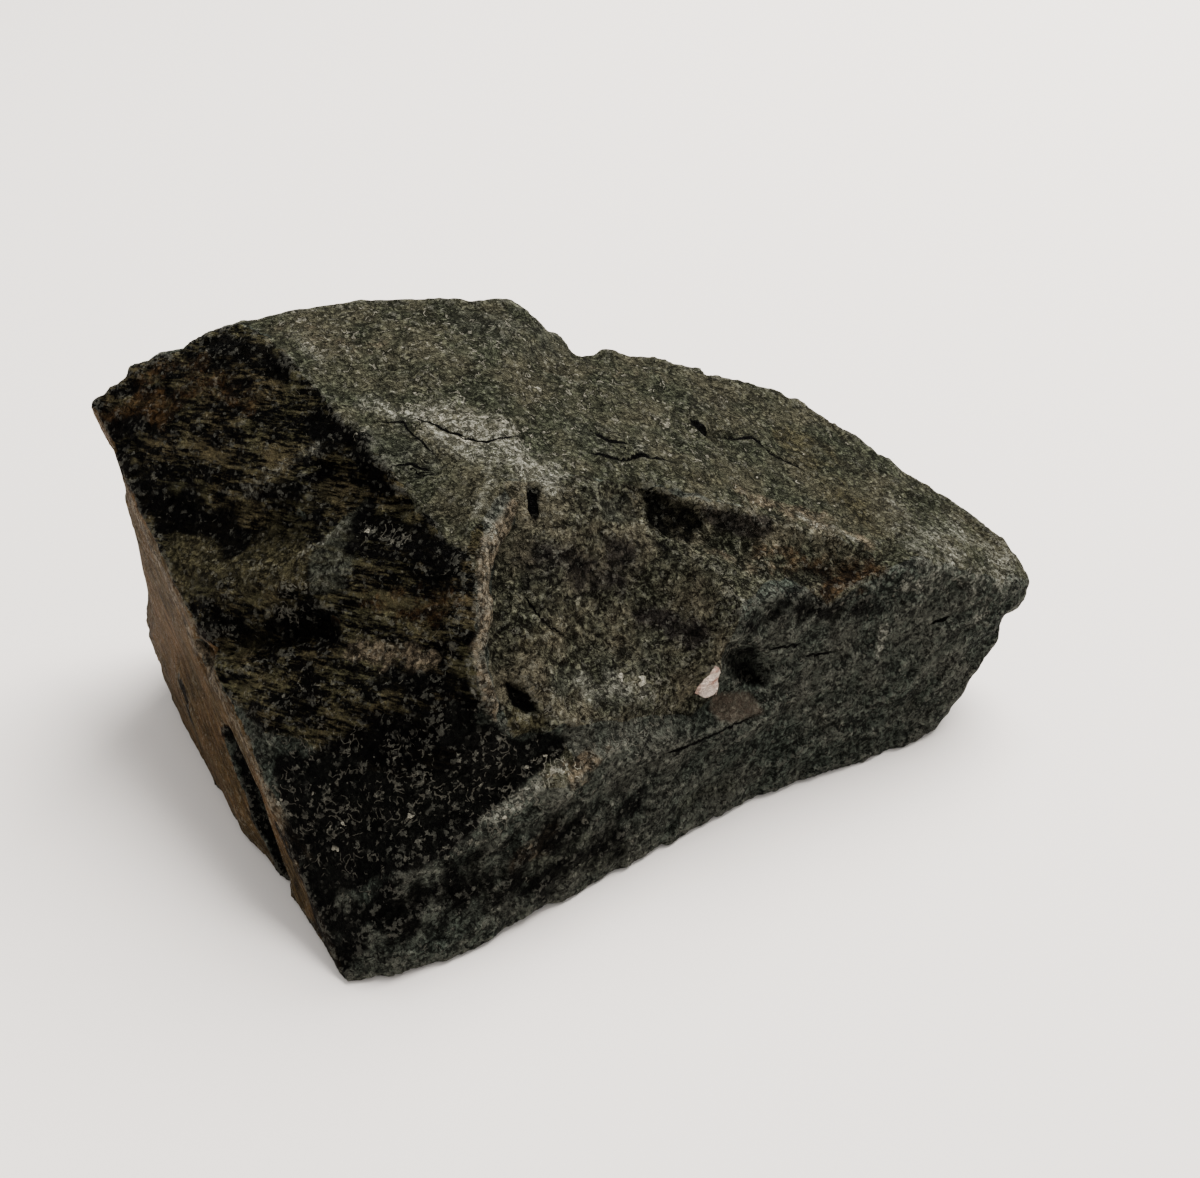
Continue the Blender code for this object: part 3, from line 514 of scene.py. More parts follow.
@dataclass
class StoneSkin:
    """The stone's visible surface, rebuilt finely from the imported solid.

    Attributes:
        node: Name of the solid that it stands for.
        voxel: Spacing of the first even skin.
        triangles: How many triangles are left at the end.
        seed: Fixes how the flakes tilt.
        plate: Thickness of the rock's plates, as their ledges show it.
        flake: How strongly the flakes tilt.
        crack_depth: How deep the cracks are cut in.
        crack_reach: How far from its middle a crack is cut in.
    """

    node: str = "greenschist"
    voxel: float = 0.5
    triangles: int = 192_000
    seed: int = 7
    plate: float = 1.9
    flake: float = 0.36
    crack_depth: float = 0.35
    crack_reach: float = 0.8

    def build(self) -> Object:
        """Make the finished surface as an object of its own."""
        noise.seed_set(self.seed)
        stone = self.merged_copy()
        self.even_skin(stone)
        self.carve(stone)
        self.thin_out(stone)
        self.paint(stone)
        stone.data.shade_smooth()
        return stone

    def merged_copy(self) -> Object:
        """Copy the solid's loose triangles and join them along their edges."""
        shape = bmesh.new()
        shape.from_mesh(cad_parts[self.node].data)
        bmesh.ops.remove_doubles(shape, verts=shape.verts, dist=1e-6)
        mesh = bpy.data.meshes.new("greenschist_surface")
        shape.to_mesh(mesh)
        shape.free()
        return add_object("greenschist_surface", mesh)

    def apply_modifiers(self, stone: Object) -> None:
        """Replace the mesh with its evaluated one."""
        graph = bpy.context.evaluated_depsgraph_get()
        graph.update()
        finished = bpy.data.meshes.new_from_object(stone.evaluated_get(graph))
        stone.modifiers.clear()
        stone.data = finished

    def even_skin(self, stone: Object) -> None:
        """Rebuild the facets as an even, slightly softened skin."""
        skin = stone.modifiers.new("even_skin", "REMESH")
        skin.mode = "VOXEL"
        skin.voxel_size = self.voxel * MM
        soften = stone.modifiers.new("soften", "SMOOTH")
        soften.factor = 0.5
        soften.iterations = 1
        self.apply_modifiers(stone)

    def thin_out(self, stone: Object) -> None:
        """Drop the triangles that the relief doesn't need."""
        stone.data.calc_loop_triangles()
        fewer = stone.modifiers.new("fewer", "DECIMATE")
        fewer.ratio = min(1.0, self.triangles / len(stone.data.loop_triangles))
        fewer.use_collapse_triangulate = True
        self.apply_modifiers(stone)

    def arrays(self, stone: Object) -> tuple[Array, Array]:
        """Vertex places in millimetres, and vertex normals."""
        count = len(stone.data.vertices)
        places = np.zeros(count * 3)
        normals = np.zeros(count * 3, dtype=np.float32)
        stone.data.vertices.foreach_get("co", places)
        stone.data.vertex_normals.foreach_get("vector", normals)
        return places.reshape(-1, 3) / MM, normals.reshape(-1, 3).astype(float)

    def zones(self, places: Array, normals: Array) -> dict[Zone, Array]:
        """How much each place belongs to each special face.

        Args:
            places: Vertex places in millimetres.
            normals: Vertex normals.

        Returns:
            One value from 0 to 1 for each place, by zone.
        """
        joint = JOINT_TURN.at(normals @ np.array(JOINT_FACING)) * JOINT_LEFT.at(-places[:, 0])
        behind = plan_distance(places, TOP_FRONT_EDGE) + lumps_at(places, TOP_BORDER)
        within = outline_distance(places + drift_at(places, SCOOP_BORDER), SCOOP_OUTLINE)
        scoop = smooth_step(within / SCOOP_FADE + 0.5)
        top = smooth_step(behind / TOP_FADE + 0.5) * TOP_TURN.at(normals[:, 2]) * (1.0 - scoop)
        brown = BROWN_TURN.at(normals @ np.array(BROWN_FACING))
        brown *= BROWN_LEFT.at(-places[:, 0]) * BROWN_HEIGHT.at(places[:, 2])
        brown *= (1.0 - top) * (1.0 - joint) * (1.0 - scoop)
        return {Zone.TOP: top, Zone.BROWN: brown, Zone.SCOOP: scoop, Zone.JOINT: joint}

    def carve(self, stone: Object) -> None:
        """Push the skin in and out: lumps, flakes, plate ledges, grain and open cracks."""
        places, normals = self.arrays(stone)
        zones = self.zones(places, normals)
        brown = zones[Zone.BROWN]
        rough = 1.0 - JOINT_CALM * zones[Zone.JOINT]
        plates = places @ np.array(FOLIATION.to_track_quat("Z", "Y").to_matrix())
        across = 1.0 - np.abs(normals @ np.array(FOLIATION))

        sharpened = SHARPENING * np.clip(self.bulge(stone, places, normals, 16), SHARPEN_IN, SHARPEN_OUT)
        level = plates[:, 2] / self.plate + lumps_at(places, PLATE_WANDER)
        broken = smooth_step(0.5 + lumps_at(plates, PLATE_BREAKS))
        ledges = (LEDGE_HEIGHT + BROWN_LEDGE_HEIGHT * brown) * across * broken
        ledges *= level - np.floor(level) - 0.5
        streaks = STREAK_HEIGHT * brown * lumps_at(plates, BROWN_STREAKS)
        flakes = self.flakes(places, SMALL_FLAKE)
        flakes += self.flakes(plates * np.array([1.0, 1.0, self.plate]), BROAD_FLAKE)
        flakes *= FLAKE_SHARE + BROWN_FLAKE_SHARE * brown
        relief = lumps_at(places, SWELL) + ledges + streaks + flakes
        offsets = sharpened + rough * (relief + lumps_at(places, CRUMBS))
        for spot in (spot for spots in SPOTS.values() for spot in spots if spot.depth):
            inside = outline_distance(places, spot.outline)
            offsets -= spot.depth * smooth_step(inside / (0.8 * spot.edge) + 0.3)
        gap = np.min([path_distance(places, crack.path) for crack in CRACKS], axis=0)
        offsets -= self.crack_depth * smooth_step(1.0 - gap / self.crack_reach)
        places += normals * offsets[:, None]
        places[:, 2] = np.maximum(places[:, 2], 0.0)
        stone.data.vertices.foreach_set("co", (places * MM).ravel())
        stone.data.update()

    def flakes(self, places: Array, size: float) -> Array:
        """Outward offset of small flat flakes, each tilted its own way.

        Args:
            places: Places in millimetres, squeezed where the flakes are to be thin.
            size: How wide a flake is.

        Returns:
            One offset in millimetres for each place.
        """
        offsets = np.zeros(len(places))
        for index, place in enumerate(places / size + 5.3):
            spot = Vector(place)
            centre = noise.voronoi(spot)[1][0]
            offsets[index] = (spot - centre).dot(noise.noise_vector(centre * 3.1))
        return self.flake * offsets

    def paint(self, stone: Object) -> None:
        """Store the zones, the markings and the layers that follow the shape."""
        places, normals = self.arrays(stone)
        soft = self.average(stone, normals, 14)
        soft /= np.linalg.norm(soft, axis=1)[:, None]
        layers = {zone.value: amount for zone, amount in self.zones(places, soft).items()}
        layers |= self.mark_layers(places)
        bulge = self.bulge(stone, places, normals, 5)
        broad = self.bulge(stone, places, soft, 40)
        for form, way in ((Form.EDGE, 1.0), (Form.HOLLOW, -1.0)):
            fine = smooth_step(way * bulge / FINE_BULGE) * FINE_SHARE
            layers[form.value] = fine + smooth_step(way * broad / BROAD_BULGE) * (1.0 - FINE_SHARE)
        layers[Form.CRACK.value], layers[Form.CRACK_WIDTH.value] = self.crack_layers(places, soft)
        layers[Form.CHIP.value] = outline_distance(places, CHIP_OUTLINE)
        layers[Form.FACET.value] = outline_distance(places, FACET_OUTLINE)
        for name, values in layers.items():
            layer = stone.data.attributes.new(name, "FLOAT", "POINT")
            layer.data.foreach_set("value", values.astype(np.float32))

    def mark_layers(self, places: Array) -> dict[str, Array]:
        """How much each marking covers each place, by the marking's layer."""
        drift = drift_at(places, MARK_BORDER)
        layers = {}
        for mark, patches in MARKINGS.items():
            amount = np.zeros(len(places))
            for patch in patches:
                gap = path_distance(places + drift * PATH_DRIFT * patch.reach, patch.path)
                cover = smooth_step(1.0 - gap / (PATH_FADE * patch.reach))
                amount = np.maximum(amount, patch.strength * cover)
            for spot in SPOTS.get(mark, ()):
                inside = outline_distance(places + drift * OUTLINE_DRIFT * spot.edge, spot.outline)
                amount = np.maximum(amount, spot.strength * np.clip(inside / spot.edge + 0.5, 0.0, 1.0))
            layers[mark.value] = amount
        return layers

    def average(self, stone: Object, values: Array, rounds: int) -> Array:
        """Spread values over neighbouring vertices.

        Args:
            stone: Object whose edges carry the values.
            values: One row for each vertex.
            rounds: How many times each vertex takes its neighbours' average.

        Returns:
            The averaged rows.
        """
        edges = np.zeros(len(stone.data.edges) * 2, dtype=np.int64)
        stone.data.edges.foreach_get("vertices", edges)
        ends = edges.reshape(-1, 2)
        first = np.concatenate([ends[:, 0], ends[:, 1]])
        second = np.concatenate([ends[:, 1], ends[:, 0]])
        count = np.maximum(np.bincount(first, minlength=len(values)), 1)
        result = values.astype(float)
        for _ in range(rounds):
            sums = [np.bincount(first, result[second, axis], len(values)) for axis in range(3)]
            result = 0.5 * result + 0.5 * np.stack(sums, axis=1) / count[:, None]
        return result

    def bulge(self, stone: Object, places: Array, normals: Array,
              rounds: int) -> Array:
        """How far each place stands out of its surroundings."""
        return ((places - self.average(stone, places, rounds)) * normals).sum(axis=1)

    def crack_layers(self, places: Array, normals: Array) -> tuple[Array, Array]:
        """Signed distance to the nearest crack, and how wide it is there."""
        distance = np.full(len(places), 9.0)
        width = np.zeros(len(places))
        for crack in CRACKS:
            corners = np.array(crack.path, dtype=float)
            lengths = np.linalg.norm(np.diff(corners, axis=0), axis=1)
            reached = 0.0
            for start, end, length in zip(corners[:-1], corners[1:], lengths):
                offset, along, gap = to_segment(places, start, end)
                side = np.sign((np.cross(end - start, normals) * offset).sum(axis=1))
                share = (reached + along * length) / lengths.sum()
                taper = smooth_step(4.0 * share) * smooth_step(4.0 * (1.0 - share))
                closer = gap < np.abs(distance)
                distance = np.where(closer, side * gap, distance)
                width = np.where(closer, crack.width * taper * smooth_step(2.0 - gap), width)
                reached += length
        return distance, width


@dataclass(frozen=True)
class Value:
    """Output of a shader node, which sums and products can be written with."""

    bench: "NodeBench"
    socket: bpy.types.NodeSocket

    def __add__(self, other: object) -> "Value":
        """Sum of the two."""
        return self.bench.math("ADD", self, other)

    def __sub__(self, other: object) -> "Value":
        """Difference of the two."""
        return self.bench.math("SUBTRACT", self, other)

    def __mul__(self, other: object) -> "Value":
        """Product of the two."""
        return self.bench.math("MULTIPLY", self, other)

    def __truediv__(self, other: object) -> "Value":
        """Quotient of the two."""
        return self.bench.math("DIVIDE", self, other)

    def eased(self, low: float, high: float, start: float = 0.0, end: float = 1.0) -> "Value":
        """The value eased from one range into another, and held there."""
        inputs = {"Value": self, "From Min": low, "From Max": high, "To Min": start, "To Max": end}
        return self.bench.value("ShaderNodeMapRange", inputs, interpolation_type="SMOOTHSTEP")


class NodeBench:
    """Places and links shader nodes in one tree."""

    def __init__(self, tree: bpy.types.NodeTree) -> None:
        """Work on one node tree."""
        self.tree = tree

    def feed(self, socket: bpy.types.NodeSocket, value: object) -> None:
        """Link a value into an input, or set the input's own value."""
        if isinstance(value, Value):
            self.tree.links.new(value.socket, socket)
        else:
            socket.default_value = value

    def node(self, kind: str, inputs: dict | None = None, **settings: object) -> bpy.types.Node:
        """Add a node.

        Args:
            kind: Blender's name of the node type.
            inputs: Constants or values for its inputs, by name or index.
            **settings: Its own settings.

        Returns:
            The new node.
        """
        node = self.tree.nodes.new(kind)
        for name, setting in settings.items():
            setattr(node, name, setting)
        for key, value in (inputs or {}).items():
            self.feed(node.inputs[key], value)
        return node

    def value(self, kind: str, inputs: dict | None = None, output: int | str = 0,
              **settings: object) -> Value:
        """Add a node and give one of its outputs."""
        return Value(self, self.node(kind, inputs, **settings).outputs[output])

    def math(self, operation: str, first: object, second: object = 0.0) -> Value:
        """One step of arithmetic."""
        return self.value("ShaderNodeMath", {0: first, 1: second}, operation=operation)

    def vector(self, operation: str, first: object, second: object) -> Value:
        """One step of vector arithmetic."""
        return self.value("ShaderNodeVectorMath", {0: first, 1: second}, operation=operation)

    def shrunk(self, place: Value, width: object, thickness: object = None) -> Value:
        """Places counted in widths, and across the plates in thicknesses."""
        inputs = {0: width, 1: width, 2: thickness or width}
        return self.vector("DIVIDE", place, self.value("ShaderNodeCombineXYZ", inputs))

    def mix(self, amount: object, first: object, second: object, blend: str = "MIX") -> Value:
        """Mix two colours."""
        inputs = {0: amount, 6: first, 7: second}
        return self.value("ShaderNodeMix", inputs, 2, data_type="RGBA", blend_type=blend)

    def layer(self, layer: Mark | Zone | Form) -> Value:
        """Read one of the mesh's painted layers."""
        return self.value("ShaderNodeAttribute", None, "Fac", attribute_name=layer.value)

    def noise(self, place: Value, detail: float, roughness: float, distortion: float = 0.0) -> Value:
        """Cloudy noise whose lumps are about one unit across."""
        inputs = {"Vector": place, "Scale": 1.0, "Detail": detail, "Roughness": roughness,
                  "Distortion": distortion}
        return self.value("ShaderNodeTexNoise", inputs)


class GroupKit:
    """Shader node groups that the finishes share, each giving a mask."""

    def __init__(self) -> None:
        """Build every group once."""
        self.trees = {
            "streaks": self.make("plate_streaks", self.streaks, "Length", "Thickness"),
            "mottle": self.make("mottle", self.mottle, "Size", "Cover", "Softness"),
            "threads": self.make("threads", self.threads, "Size", "Width", "Cover"),
            "crumbs": self.make("crumbs", self.crumbs, "Size"),
            "ragged": self.make("ragged_edge", self.ragged, "Amount", "Breakup", "Softness"),
        }

    def make(self, name: str, mask: Callable[[NodeBench, dict[str, Value]], Value],
             *numbers: str) -> bpy.types.NodeTree:
        """Make one group.

        Args:
            name: Name of the group.
            mask: Works out the group's mask from its inputs.
            *numbers: Names of its inputs besides the place.

        Returns:
            The group's node tree.
        """
        tree = bpy.data.node_groups.new(name, "ShaderNodeTree")
        tree.interface.new_socket(name="Place", in_out="INPUT", socket_type="NodeSocketVector")
        for label in numbers:
            tree.interface.new_socket(name=label, in_out="INPUT", socket_type="NodeSocketFloat")
        tree.interface.new_socket(name="Mask", in_out="OUTPUT", socket_type="NodeSocketFloat")
        bench = NodeBench(tree)
        source = bench.node("NodeGroupInput").outputs
        given = {label: Value(bench, source[label]) for label in ("Place", *numbers)}
        bench.node("NodeGroupOutput", {"Mask": mask(bench, given)})
        return tree

    def streaks(self, bench: NodeBench, given: dict[str, Value]) -> Value:
        """Noise drawn out along the plates."""
        place = bench.shrunk(given["Place"], given["Length"], given["Thickness"])
        return bench.noise(place, 3.0, 0.65).eased(0.35, 0.65)

    def mottle(self, bench: NodeBench, given: dict[str, Value]) -> Value:
        """Irregular spots that cover a chosen share of the surface."""
        given["Amount"] = bench.noise(bench.shrunk(given["Place"], given["Size"]), 3.0, 0.6)
        return self.ragged(bench, given | {"Breakup": given["Cover"]})

    def threads(self, bench: NodeBench, given: dict[str, Value]) -> Value:
        """Short curved hair-thin lines, as needles of pale mineral show on a dark break."""
        place = bench.shrunk(given["Place"], given["Size"])
        swirl = bench.math("ABSOLUTE", bench.noise(place, 1.5, 0.5, 0.5) - 0.5)
        line = (swirl / given["Width"]).eased(1.0, 0.45)
        elsewhere = bench.vector("ADD", place, (7.3, 2.1, 9.4))
        part = bench.noise(elsewhere, 1.0, 0.6) + given["Cover"] - 1.0
        return line * part.eased(0.0, 0.05)

    def crumbs(self, bench: NodeBench, given: dict[str, Value]) -> Value:
        """Irregular grains, each with its own lightness."""
        place = bench.shrunk(given["Place"], given["Size"])
        drift = bench.value("ShaderNodeTexNoise", {"Vector": place, "Scale": 1.6, "Detail": 0.0}, 1)
        place = bench.vector("ADD", place, bench.vector("MULTIPLY", drift, (0.9, 0.9, 0.9)))
        cells = bench.value("ShaderNodeTexVoronoi", {"Vector": place, "Scale": 1.0}, "Color", feature="F1")
        return bench.value("ShaderNodeSeparateColor", {0: cells})

    def ragged(self, bench: NodeBench, given: dict[str, Value]) -> Value:
        """Soft amount broken up by noise into patches with ragged edges."""
        level = given["Amount"] + given["Breakup"] - 1.0
        return (level / given["Softness"] + 0.5).eased(0.0, 1.0)


@dataclass(frozen=True)
class RockTone:
    """Dark and light colours that one kind of rock surface is mottled with."""

    dark: Colour
    light: Colour


@dataclass(frozen=True)
class GreenschistFinish:
    """Colours of the stone, in linear values, its shine and the depth of its bump."""

    wall: RockTone = RockTone((0.0085, 0.0090, 0.0082, 1.0), (0.078, 0.083, 0.074, 1.0))
    top: RockTone = RockTone((0.0120, 0.0118, 0.0082, 1.0), (0.078, 0.076, 0.054, 1.0))
    brown: RockTone = RockTone((0.0006, 0.0004, 0.0002, 1.0), (0.090, 0.075, 0.043, 1.0))
    scoop: RockTone = RockTone((0.0060, 0.0053, 0.0036, 1.0), (0.112, 0.104, 0.077, 1.0))
    joint: RockTone = RockTone((0.014, 0.008, 0.004, 1.0), (0.124, 0.076, 0.038, 1.0))
    facet: RockTone = RockTone((0.045, 0.036, 0.027, 1.0), (0.135, 0.106, 0.080, 1.0))
    chip: RockTone = RockTone((0.480, 0.300, 0.240, 1.0), (0.860, 0.720, 0.620, 1.0))
    cool: Colour = (0.87, 0.98, 0.88, 1.0)
    warm: Colour = (1.04, 1.01, 0.92, 1.0)
    rust: Colour = (0.046, 0.026, 0.011, 1.0)
    olive: Colour = (0.048, 0.043, 0.023, 1.0)
    teal: Colour = (0.045, 0.048, 0.036, 1.0)
    purple: Colour = (0.020, 0.0168, 0.0155, 1.0)
    tan: Colour = (0.118, 0.094, 0.063, 1.0)
    # Near-black of dark rock and of painted shade; the cracks use it too.
    dark_and_shade: Colour = (0.0003, 0.0002, 0.0002, 1.0)
    # Pale powder, also used as a painted sheen.
    powder_and_sheen: Colour = (0.320, 0.318, 0.262, 1.0)
    fleck: Colour = (0.420, 0.400, 0.320, 1.0)
    smoothest: float = 0.50
    roughest: float = 0.76
    specular: float = 0.02
    bump: float = 0.8


GRAIN_GROUPS: dict[str, tuple[str, str, dict[str, float]]] = {
    "plates": ("streaks", "plates", {"Length": 7.0, "Thickness": 1.5}),
    "brown_bands": ("streaks", "brown", {"Length": 9.0, "Thickness": 2.3}),
    "brown_streaks": ("streaks", "brown", {"Length": 3.4, "Thickness": 0.8}),
    "brown_lines": ("streaks", "brown", {"Length": 1.5, "Thickness": 0.33}),
    "joint_lines": ("streaks", "joint", {"Length": 7.0, "Thickness": 0.6}),
    "mottle": ("mottle", "plain", {"Size": 1.6, "Cover": 0.5, "Softness": 0.22}),
    "crumbs": ("crumbs", "plain", {"Size": 1.0}),
    "dust": ("crumbs", "plain", {"Size": 0.55}),
    "felt": ("threads", "plain", {"Size": 1.0, "Width": 0.10, "Cover": 0.62}),
    "worms": ("threads", "plain", {"Size": 1.7, "Width": 0.07, "Cover": 0.56}),
}
WALL_GRAIN = {"weave": 0.44, "dust": 0.16, "mottle": 0.10, "felt": 0.12, "clouds": 0.16, "plates": 0.16,
              "worms": -0.22}
SCOOP_GRAIN = {"weave": 0.38, "dust": 0.22, "crumbs": 0.16, "mottle": 0.10, "clouds": 0.20, "worms": -0.15}
BROWN_STRIPES = {"brown_bands": 0.34, "brown_streaks": 0.30, "brown_lines": 0.22, "weave": 0.14}
JOINT_FIBRES = {"joint_lines": 0.55, "dust": 0.20, "clouds": 0.25}
FACET_GRAIN = {"dust": 0.5, "blotches": 0.5}
MARK_SHADE = {"dust": 0.25, "weave": 0.45, "mottle": 0.3}
# Specks that break up the powder and its painted sheen.
POWDER_AND_SHEEN_SPECKS = {"dust": 0.45, "crumbs": 0.25, "felt": 0.30}
BUMP_HEIGHT = {"weave": 0.9, "grain": 0.55}


class GreenschistMaterial:
    """Procedural rock material that reads the painted layers."""

    def __init__(self, finish: GreenschistFinish, groups: GroupKit) -> None:
        """Start the material, and lay out the masks of the rock's own texture."""
        self.finish = finish
        self.groups = groups
        self.material = bpy.data.materials.new("greenschist_stone")
        self.material.use_nodes = True
        self.bench = NodeBench(self.material.node_tree)
        source = self.bench.value("ShaderNodeTexCoord", None, "Object")
        inputs = {0: source, "Scale": 1.0 / MM}
        self.place = self.bench.value("ShaderNodeVectorMath", inputs, operation="SCALE")
        self.masks = self.texture_masks()

    def build(self) -> bpy.types.Material:
        """Finish the material."""
        shader = self.material.node_tree.nodes["Principled BSDF"]
        finish = self.finish
        calm = self.bench.layer(Zone.JOINT).eased(0.0, 1.0, 1.0, 0.45)
        inputs = {"Strength": 1.0, "Distance": finish.bump * MM, "Height": self.blend(BUMP_HEIGHT) * calm}
        self.bench.feed(shader.inputs["Base Color"], self.cracked(self.dusted(self.marked(self.zoned()))))
        self.bench.feed(shader.inputs["Roughness"],
                        self.masks["grain"].eased(0.2, 0.8, finish.smoothest, finish.roughest))
        self.bench.feed(shader.inputs["Normal"], self.bench.value("ShaderNodeBump", inputs))
        shader.inputs["Specular IOR Level"].default_value = finish.specular
        return self.material

    def group(self, name: str, inputs: dict) -> Value:
        """Place a shared group and give its mask."""
        node = self.bench.node("ShaderNodeGroup", node_tree=self.groups.trees[name])
        for key, value in inputs.items():
            self.bench.feed(node.inputs[key], value)
        return Value(self.bench, node.outputs["Mask"])

    def turned(self, turn: Matrix) -> Value:
        """Places counted along the axes of a turn."""
        inputs = {"Vector": self.place, "Rotation": turn.to_euler()}
        return self.bench.value("ShaderNodeMapping", inputs, vector_type="TEXTURE")

    def along(self, run: Vector, facing: Vector) -> Value:
        """Turn places so that X follows a run along a face and Z goes across it in the face."""
        across = run.cross(facing).normalized()
        return self.turned(Matrix((run, across.cross(run), across)).transposed())

    def texture_masks(self) -> dict[str, Value]:
        """Masks of the rock's own texture, from fine grain to broad clouds."""
        axes = {
            "plain": self.place,
            "plates": self.turned(FOLIATION.to_track_quat("Z", "Y").to_matrix()),
            "brown": self.along(BROWN_RUN, BROWN_FACING),
            "joint": self.along(JOINT_RUN, JOINT_FACING),
        }
        masks = {name: self.group(group, {"Place": axes[axis]} | settings)
                 for name, (group, axis, settings) in GRAIN_GROUPS.items()}
        shrunk, cloudy = self.bench.shrunk, self.bench.noise
        masks["clouds"] = cloudy(shrunk(self.place, 9.0), 3.0, 0.6).eased(0.35, 0.65)
        masks["blotches"] = cloudy(shrunk(self.place, 3.4), 4.0, 0.7)
        masks["weave"] = cloudy(shrunk(self.place, 0.8), 3.0, 0.7, 1.0).eased(0.36, 0.64)
        masks["grain"] = cloudy(shrunk(self.place, 0.45), 2.0, 0.5)
        return masks

    def blend(self, shares: dict[str, float]) -> Value:
        """Weighted sum of masks."""
        parts = [self.masks[name] * share for name, share in shares.items()]
        return sum(parts[1:], parts[0])

    def ragged(self, amount: Value, softness: float, breakup: str = "blotches") -> Value:
        """An amount broken up by one of the masks."""
        inputs = {"Amount": amount, "Breakup": self.masks[breakup], "Softness": softness}
        return self.group("ragged", inputs)

    def jitter(self, share: float) -> Value:
        """Small swings to both sides of zero, which roughen borders."""
        return (self.masks["blotches"] - 0.5) * share

    def zoned(self) -> Value:
        """Rock colour of each face, before its markings."""
        bench, finish = self.bench, self.finish
        general = self.blend(WALL_GRAIN).eased(0.21, 0.86)
        granular = self.blend(SCOOP_GRAIN).eased(0.22, 0.90)
        striped = self.blend(BROWN_STRIPES).eased(0.40, 0.88)
        colour = bench.mix(general, finish.wall.dark, finish.wall.light)
        for zone, tone, grain in ((Zone.TOP, finish.top, general), (Zone.BROWN, finish.brown, striped),
                                  (Zone.SCOOP, finish.scoop, granular),
                                  (Zone.JOINT, finish.joint, self.blend(JOINT_FIBRES))):
            face = (bench.layer(zone) + self.jitter(0.9)).eased(0.38, 0.62)
            colour = bench.mix(face, colour, bench.mix(grain, tone.dark, tone.light))
        return bench.mix(1.0, colour, bench.mix(self.masks["clouds"], finish.cool, finish.warm), "MULTIPLY")

    def marked(self, colour: Value) -> Value:
        """Lay the coloured markings over the rock colour, then the near-black ones, which are partly dark rock
        and partly painted shade, and painted shade in the hollows.
        """
        bench, finish = self.bench, self.finish
        shade = self.blend(MARK_SHADE).eased(0.15, 0.85, 0.15, 1.5)
        grey = bench.value("ShaderNodeCombineColor", {0: shade, 1: shade, 2: shade})
        for mark, tint, softness in ((Mark.OLIVE, finish.olive, 0.5), (Mark.TEAL, finish.teal, 0.5),
                                     (Mark.PURPLE, finish.purple, 0.5), (Mark.RUST, finish.rust, 0.35),
                                     (Mark.TAN, finish.tan, 0.35)):
            cover = self.ragged(bench.layer(mark), softness) * 0.8
            colour = bench.mix(cover, colour, bench.mix(1.0, tint, grey, "MULTIPLY"))
        # Near-black markings: partly dark rock, partly painted shade.
        colour = bench.mix(self.ragged(bench.layer(Mark.DARK_AND_SHADE), 0.35) * 0.95, colour, finish.dark_and_shade)
        # Painted shade: hollows darkened towards near-black.
        return bench.mix(bench.layer(Form.HOLLOW) * 0.45, colour, finish.dark_and_shade)

    def dusted(self, colour: Value) -> Value:
        """Lay the worn edges, the powder with its painted sheen, and the pale grains and needles over a colour.
        """
        bench, finish, masks = self.bench, self.finish, self.masks
        worn = self.ragged(bench.layer(Form.EDGE) * 0.62, 0.3, "dust")
        colour = bench.mix(worn * 0.16, colour, finish.powder_and_sheen)
        specks = self.blend(POWDER_AND_SHEEN_SPECKS).eased(0.42, 0.78)
        # Powder patches, partly a painted sheen on the top and the right end.
        powder_and_sheen = self.ragged(bench.layer(Mark.POWDER_AND_SHEEN), 0.6) * (specks * 0.75 + 0.10)
        colour = bench.mix(powder_and_sheen, colour, finish.powder_and_sheen)
        flecked = bench.layer(Mark.FLECKS)
        loose = (masks["crumbs"] - flecked.eased(0.0, 1.0, 1.05, 0.95)).eased(0.0, 0.01) * 0.75
        small = (masks["dust"] - flecked.eased(0.0, 1.0, 0.99, 0.90)).eased(0.0, 0.02) * 0.09
        needles = self.group("threads", {"Place": self.place, "Size": 1.7, "Width": 0.029,
                                         "Cover": flecked.eased(0.0, 1.0, 0.33, 0.64)})
        needles *= bench.layer(Zone.TOP).eased(0.0, 1.0, 0.18, 0.42)
        pale = bench.math("MAXIMUM", bench.math("MAXIMUM", loose, needles), small)
        return bench.mix(pale, colour, finish.fleck)

    def cracked(self, colour: Value) -> Value:
        """Draw the cracks, and the one fresh pale chip with the tan facet beside it."""
        bench, finish = self.bench, self.finish
        jitter = self.jitter(0.8)
        facet = (bench.layer(Form.FACET) + jitter * 0.6).eased(-0.6, 0.6) * 0.66
        tan = bench.mix(self.blend(FACET_GRAIN), finish.facet.dark, finish.facet.light)
        colour = bench.mix(facet, colour, tan)
        chip = (bench.layer(Form.CHIP) + jitter * 0.25).eased(-0.1, 0.1)
        pale = bench.mix(self.masks["blotches"].eased(0.45, 0.65), finish.chip.light, finish.chip.dark)
        colour = bench.mix(chip, colour, pale)
        gap = bench.math("ABSOLUTE", bench.layer(Form.CRACK) + jitter)
        inside = bench.layer(Form.CRACK_WIDTH) - gap
        return bench.mix(inside.eased(-0.05, 0.08), colour, finish.dark_and_shade)


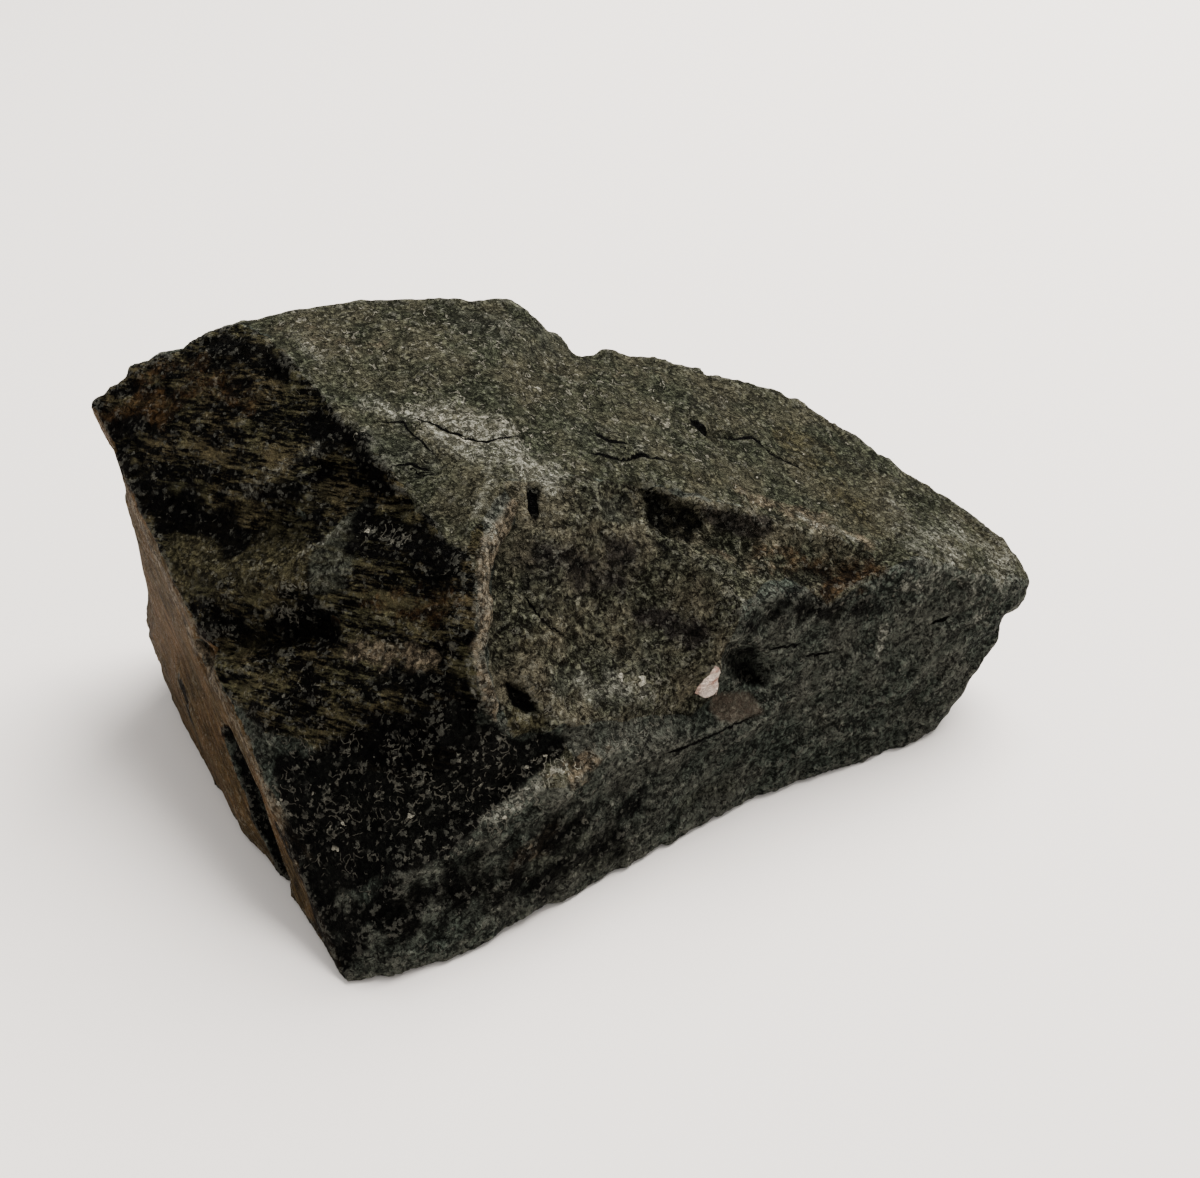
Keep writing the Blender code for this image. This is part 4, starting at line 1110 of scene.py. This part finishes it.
@dataclass
class Studio:
    """Plain floor, soft light and camera.

    Attributes:
        floor_half: Half the floor's side.
        floor_colour: Its pale, slightly warm white.
        key_place: Where the broad soft light hangs, above, a little behind and to the right, in metres.
        key_target: What it shines at, in metres.
        key_side: Side of its square, in metres.
        key_power: Its power in watts.
        key_colour: Its warm white.
        ambient_colour: Colour of the even light from all round.
        ambient_strength: Strength of that light.
        camera_place: Where the camera stands.
        camera_pitch: How far it looks down, in degrees.
        camera_roll: How far it leans, in degrees.
        lens: Focal length on the sensor.
        sensor: Width of the sensor.
    """

    floor_half: float = 3000.0
    floor_colour: Colour = (0.95, 0.90, 0.86, 1.0)
    key_place: Point = (0.45, 0.60, 1.15)
    key_target: Point = (0.0, 0.0, 0.03)
    key_side: float = 1.1
    key_power: float = 64.0
    key_colour: Point = (1.0, 0.965, 0.92)
    ambient_colour: Colour = (1.0, 0.985, 0.965, 1.0)
    ambient_strength: float = 0.80
    camera_place: Point = (5.2, -189.3, 166.0)
    camera_pitch: float = 34.5
    camera_roll: float = 0.7
    lens: float = 45.0
    sensor: float = 36.0

    def build(self) -> None:
        """Set up everything round the stone."""
        self.floor()
        self.key_light()
        self.ambient()
        self.camera()

    def floor(self) -> None:
        """Flat pale floor at the stone's foot."""
        shape = bmesh.new()
        bmesh.ops.create_grid(shape, x_segments=1, y_segments=1, size=self.floor_half * MM)
        mesh = bpy.data.meshes.new("floor")
        shape.to_mesh(mesh)
        shape.free()
        floor = add_object("floor", mesh)
        paint = bpy.data.materials.new("pale_floor")
        paint.use_nodes = True
        shader = paint.node_tree.nodes["Principled BSDF"]
        shader.inputs["Base Color"].default_value = self.floor_colour
        shader.inputs["Roughness"].default_value = 0.6
        shader.inputs["Specular IOR Level"].default_value = 0.2
        mesh.materials.append(paint)

    def key_light(self) -> None:
        """Broad soft light on the stone."""
        data = bpy.data.lights.new("key", "AREA")
        data.shape = "SQUARE"
        data.size = self.key_side
        data.energy = self.key_power
        data.color = self.key_colour
        place = Vector(self.key_place)
        turn = (Vector(self.key_target) - place).to_track_quat("-Z", "Y").to_matrix().to_4x4()
        add_object("key", data).matrix_world = Matrix.Translation(place) @ turn

    def ambient(self) -> None:
        """Even light from all round."""
        world = bpy.data.worlds.new("studio")
        world.use_nodes = True
        background = world.node_tree.nodes["Background"]
        background.inputs["Color"].default_value = self.ambient_colour
        background.inputs["Strength"].default_value = self.ambient_strength
        bpy.context.scene.world = world

    def camera(self) -> None:
        """Camera at the viewing angle that the stone is shown from."""
        data = bpy.data.cameras.new("camera")
        data.sensor_width = self.sensor
        data.sensor_fit = "HORIZONTAL"
        data.lens = self.lens
        data.clip_start = 0.01
        tilt = Matrix.Rotation(math.radians(90.0 - self.camera_pitch), 4, "X")
        lean = Matrix.Rotation(math.radians(self.camera_roll), 4, "Z")
        camera = add_object("camera", data)
        camera.matrix_world = Matrix.Translation(Vector(self.camera_place) * MM) @ tilt @ lean
        bpy.context.scene.camera = camera


def main() -> None:
    """Build and dress the stone, then the studio."""
    logging.basicConfig(level=logging.INFO, format="%(name)s: %(message)s")
    skin = StoneSkin()
    stone = skin.build()
    log.info("surface has %d triangles", len(stone.data.polygons))
    stone.data.materials.append(GreenschistMaterial(GreenschistFinish(), GroupKit()).build())
    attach(stone, "root")
    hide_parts(skin.node)
    log.info("stone dressed")
    Studio().build()
    log.info("studio ready")


if __name__ == "__main__":
    main()
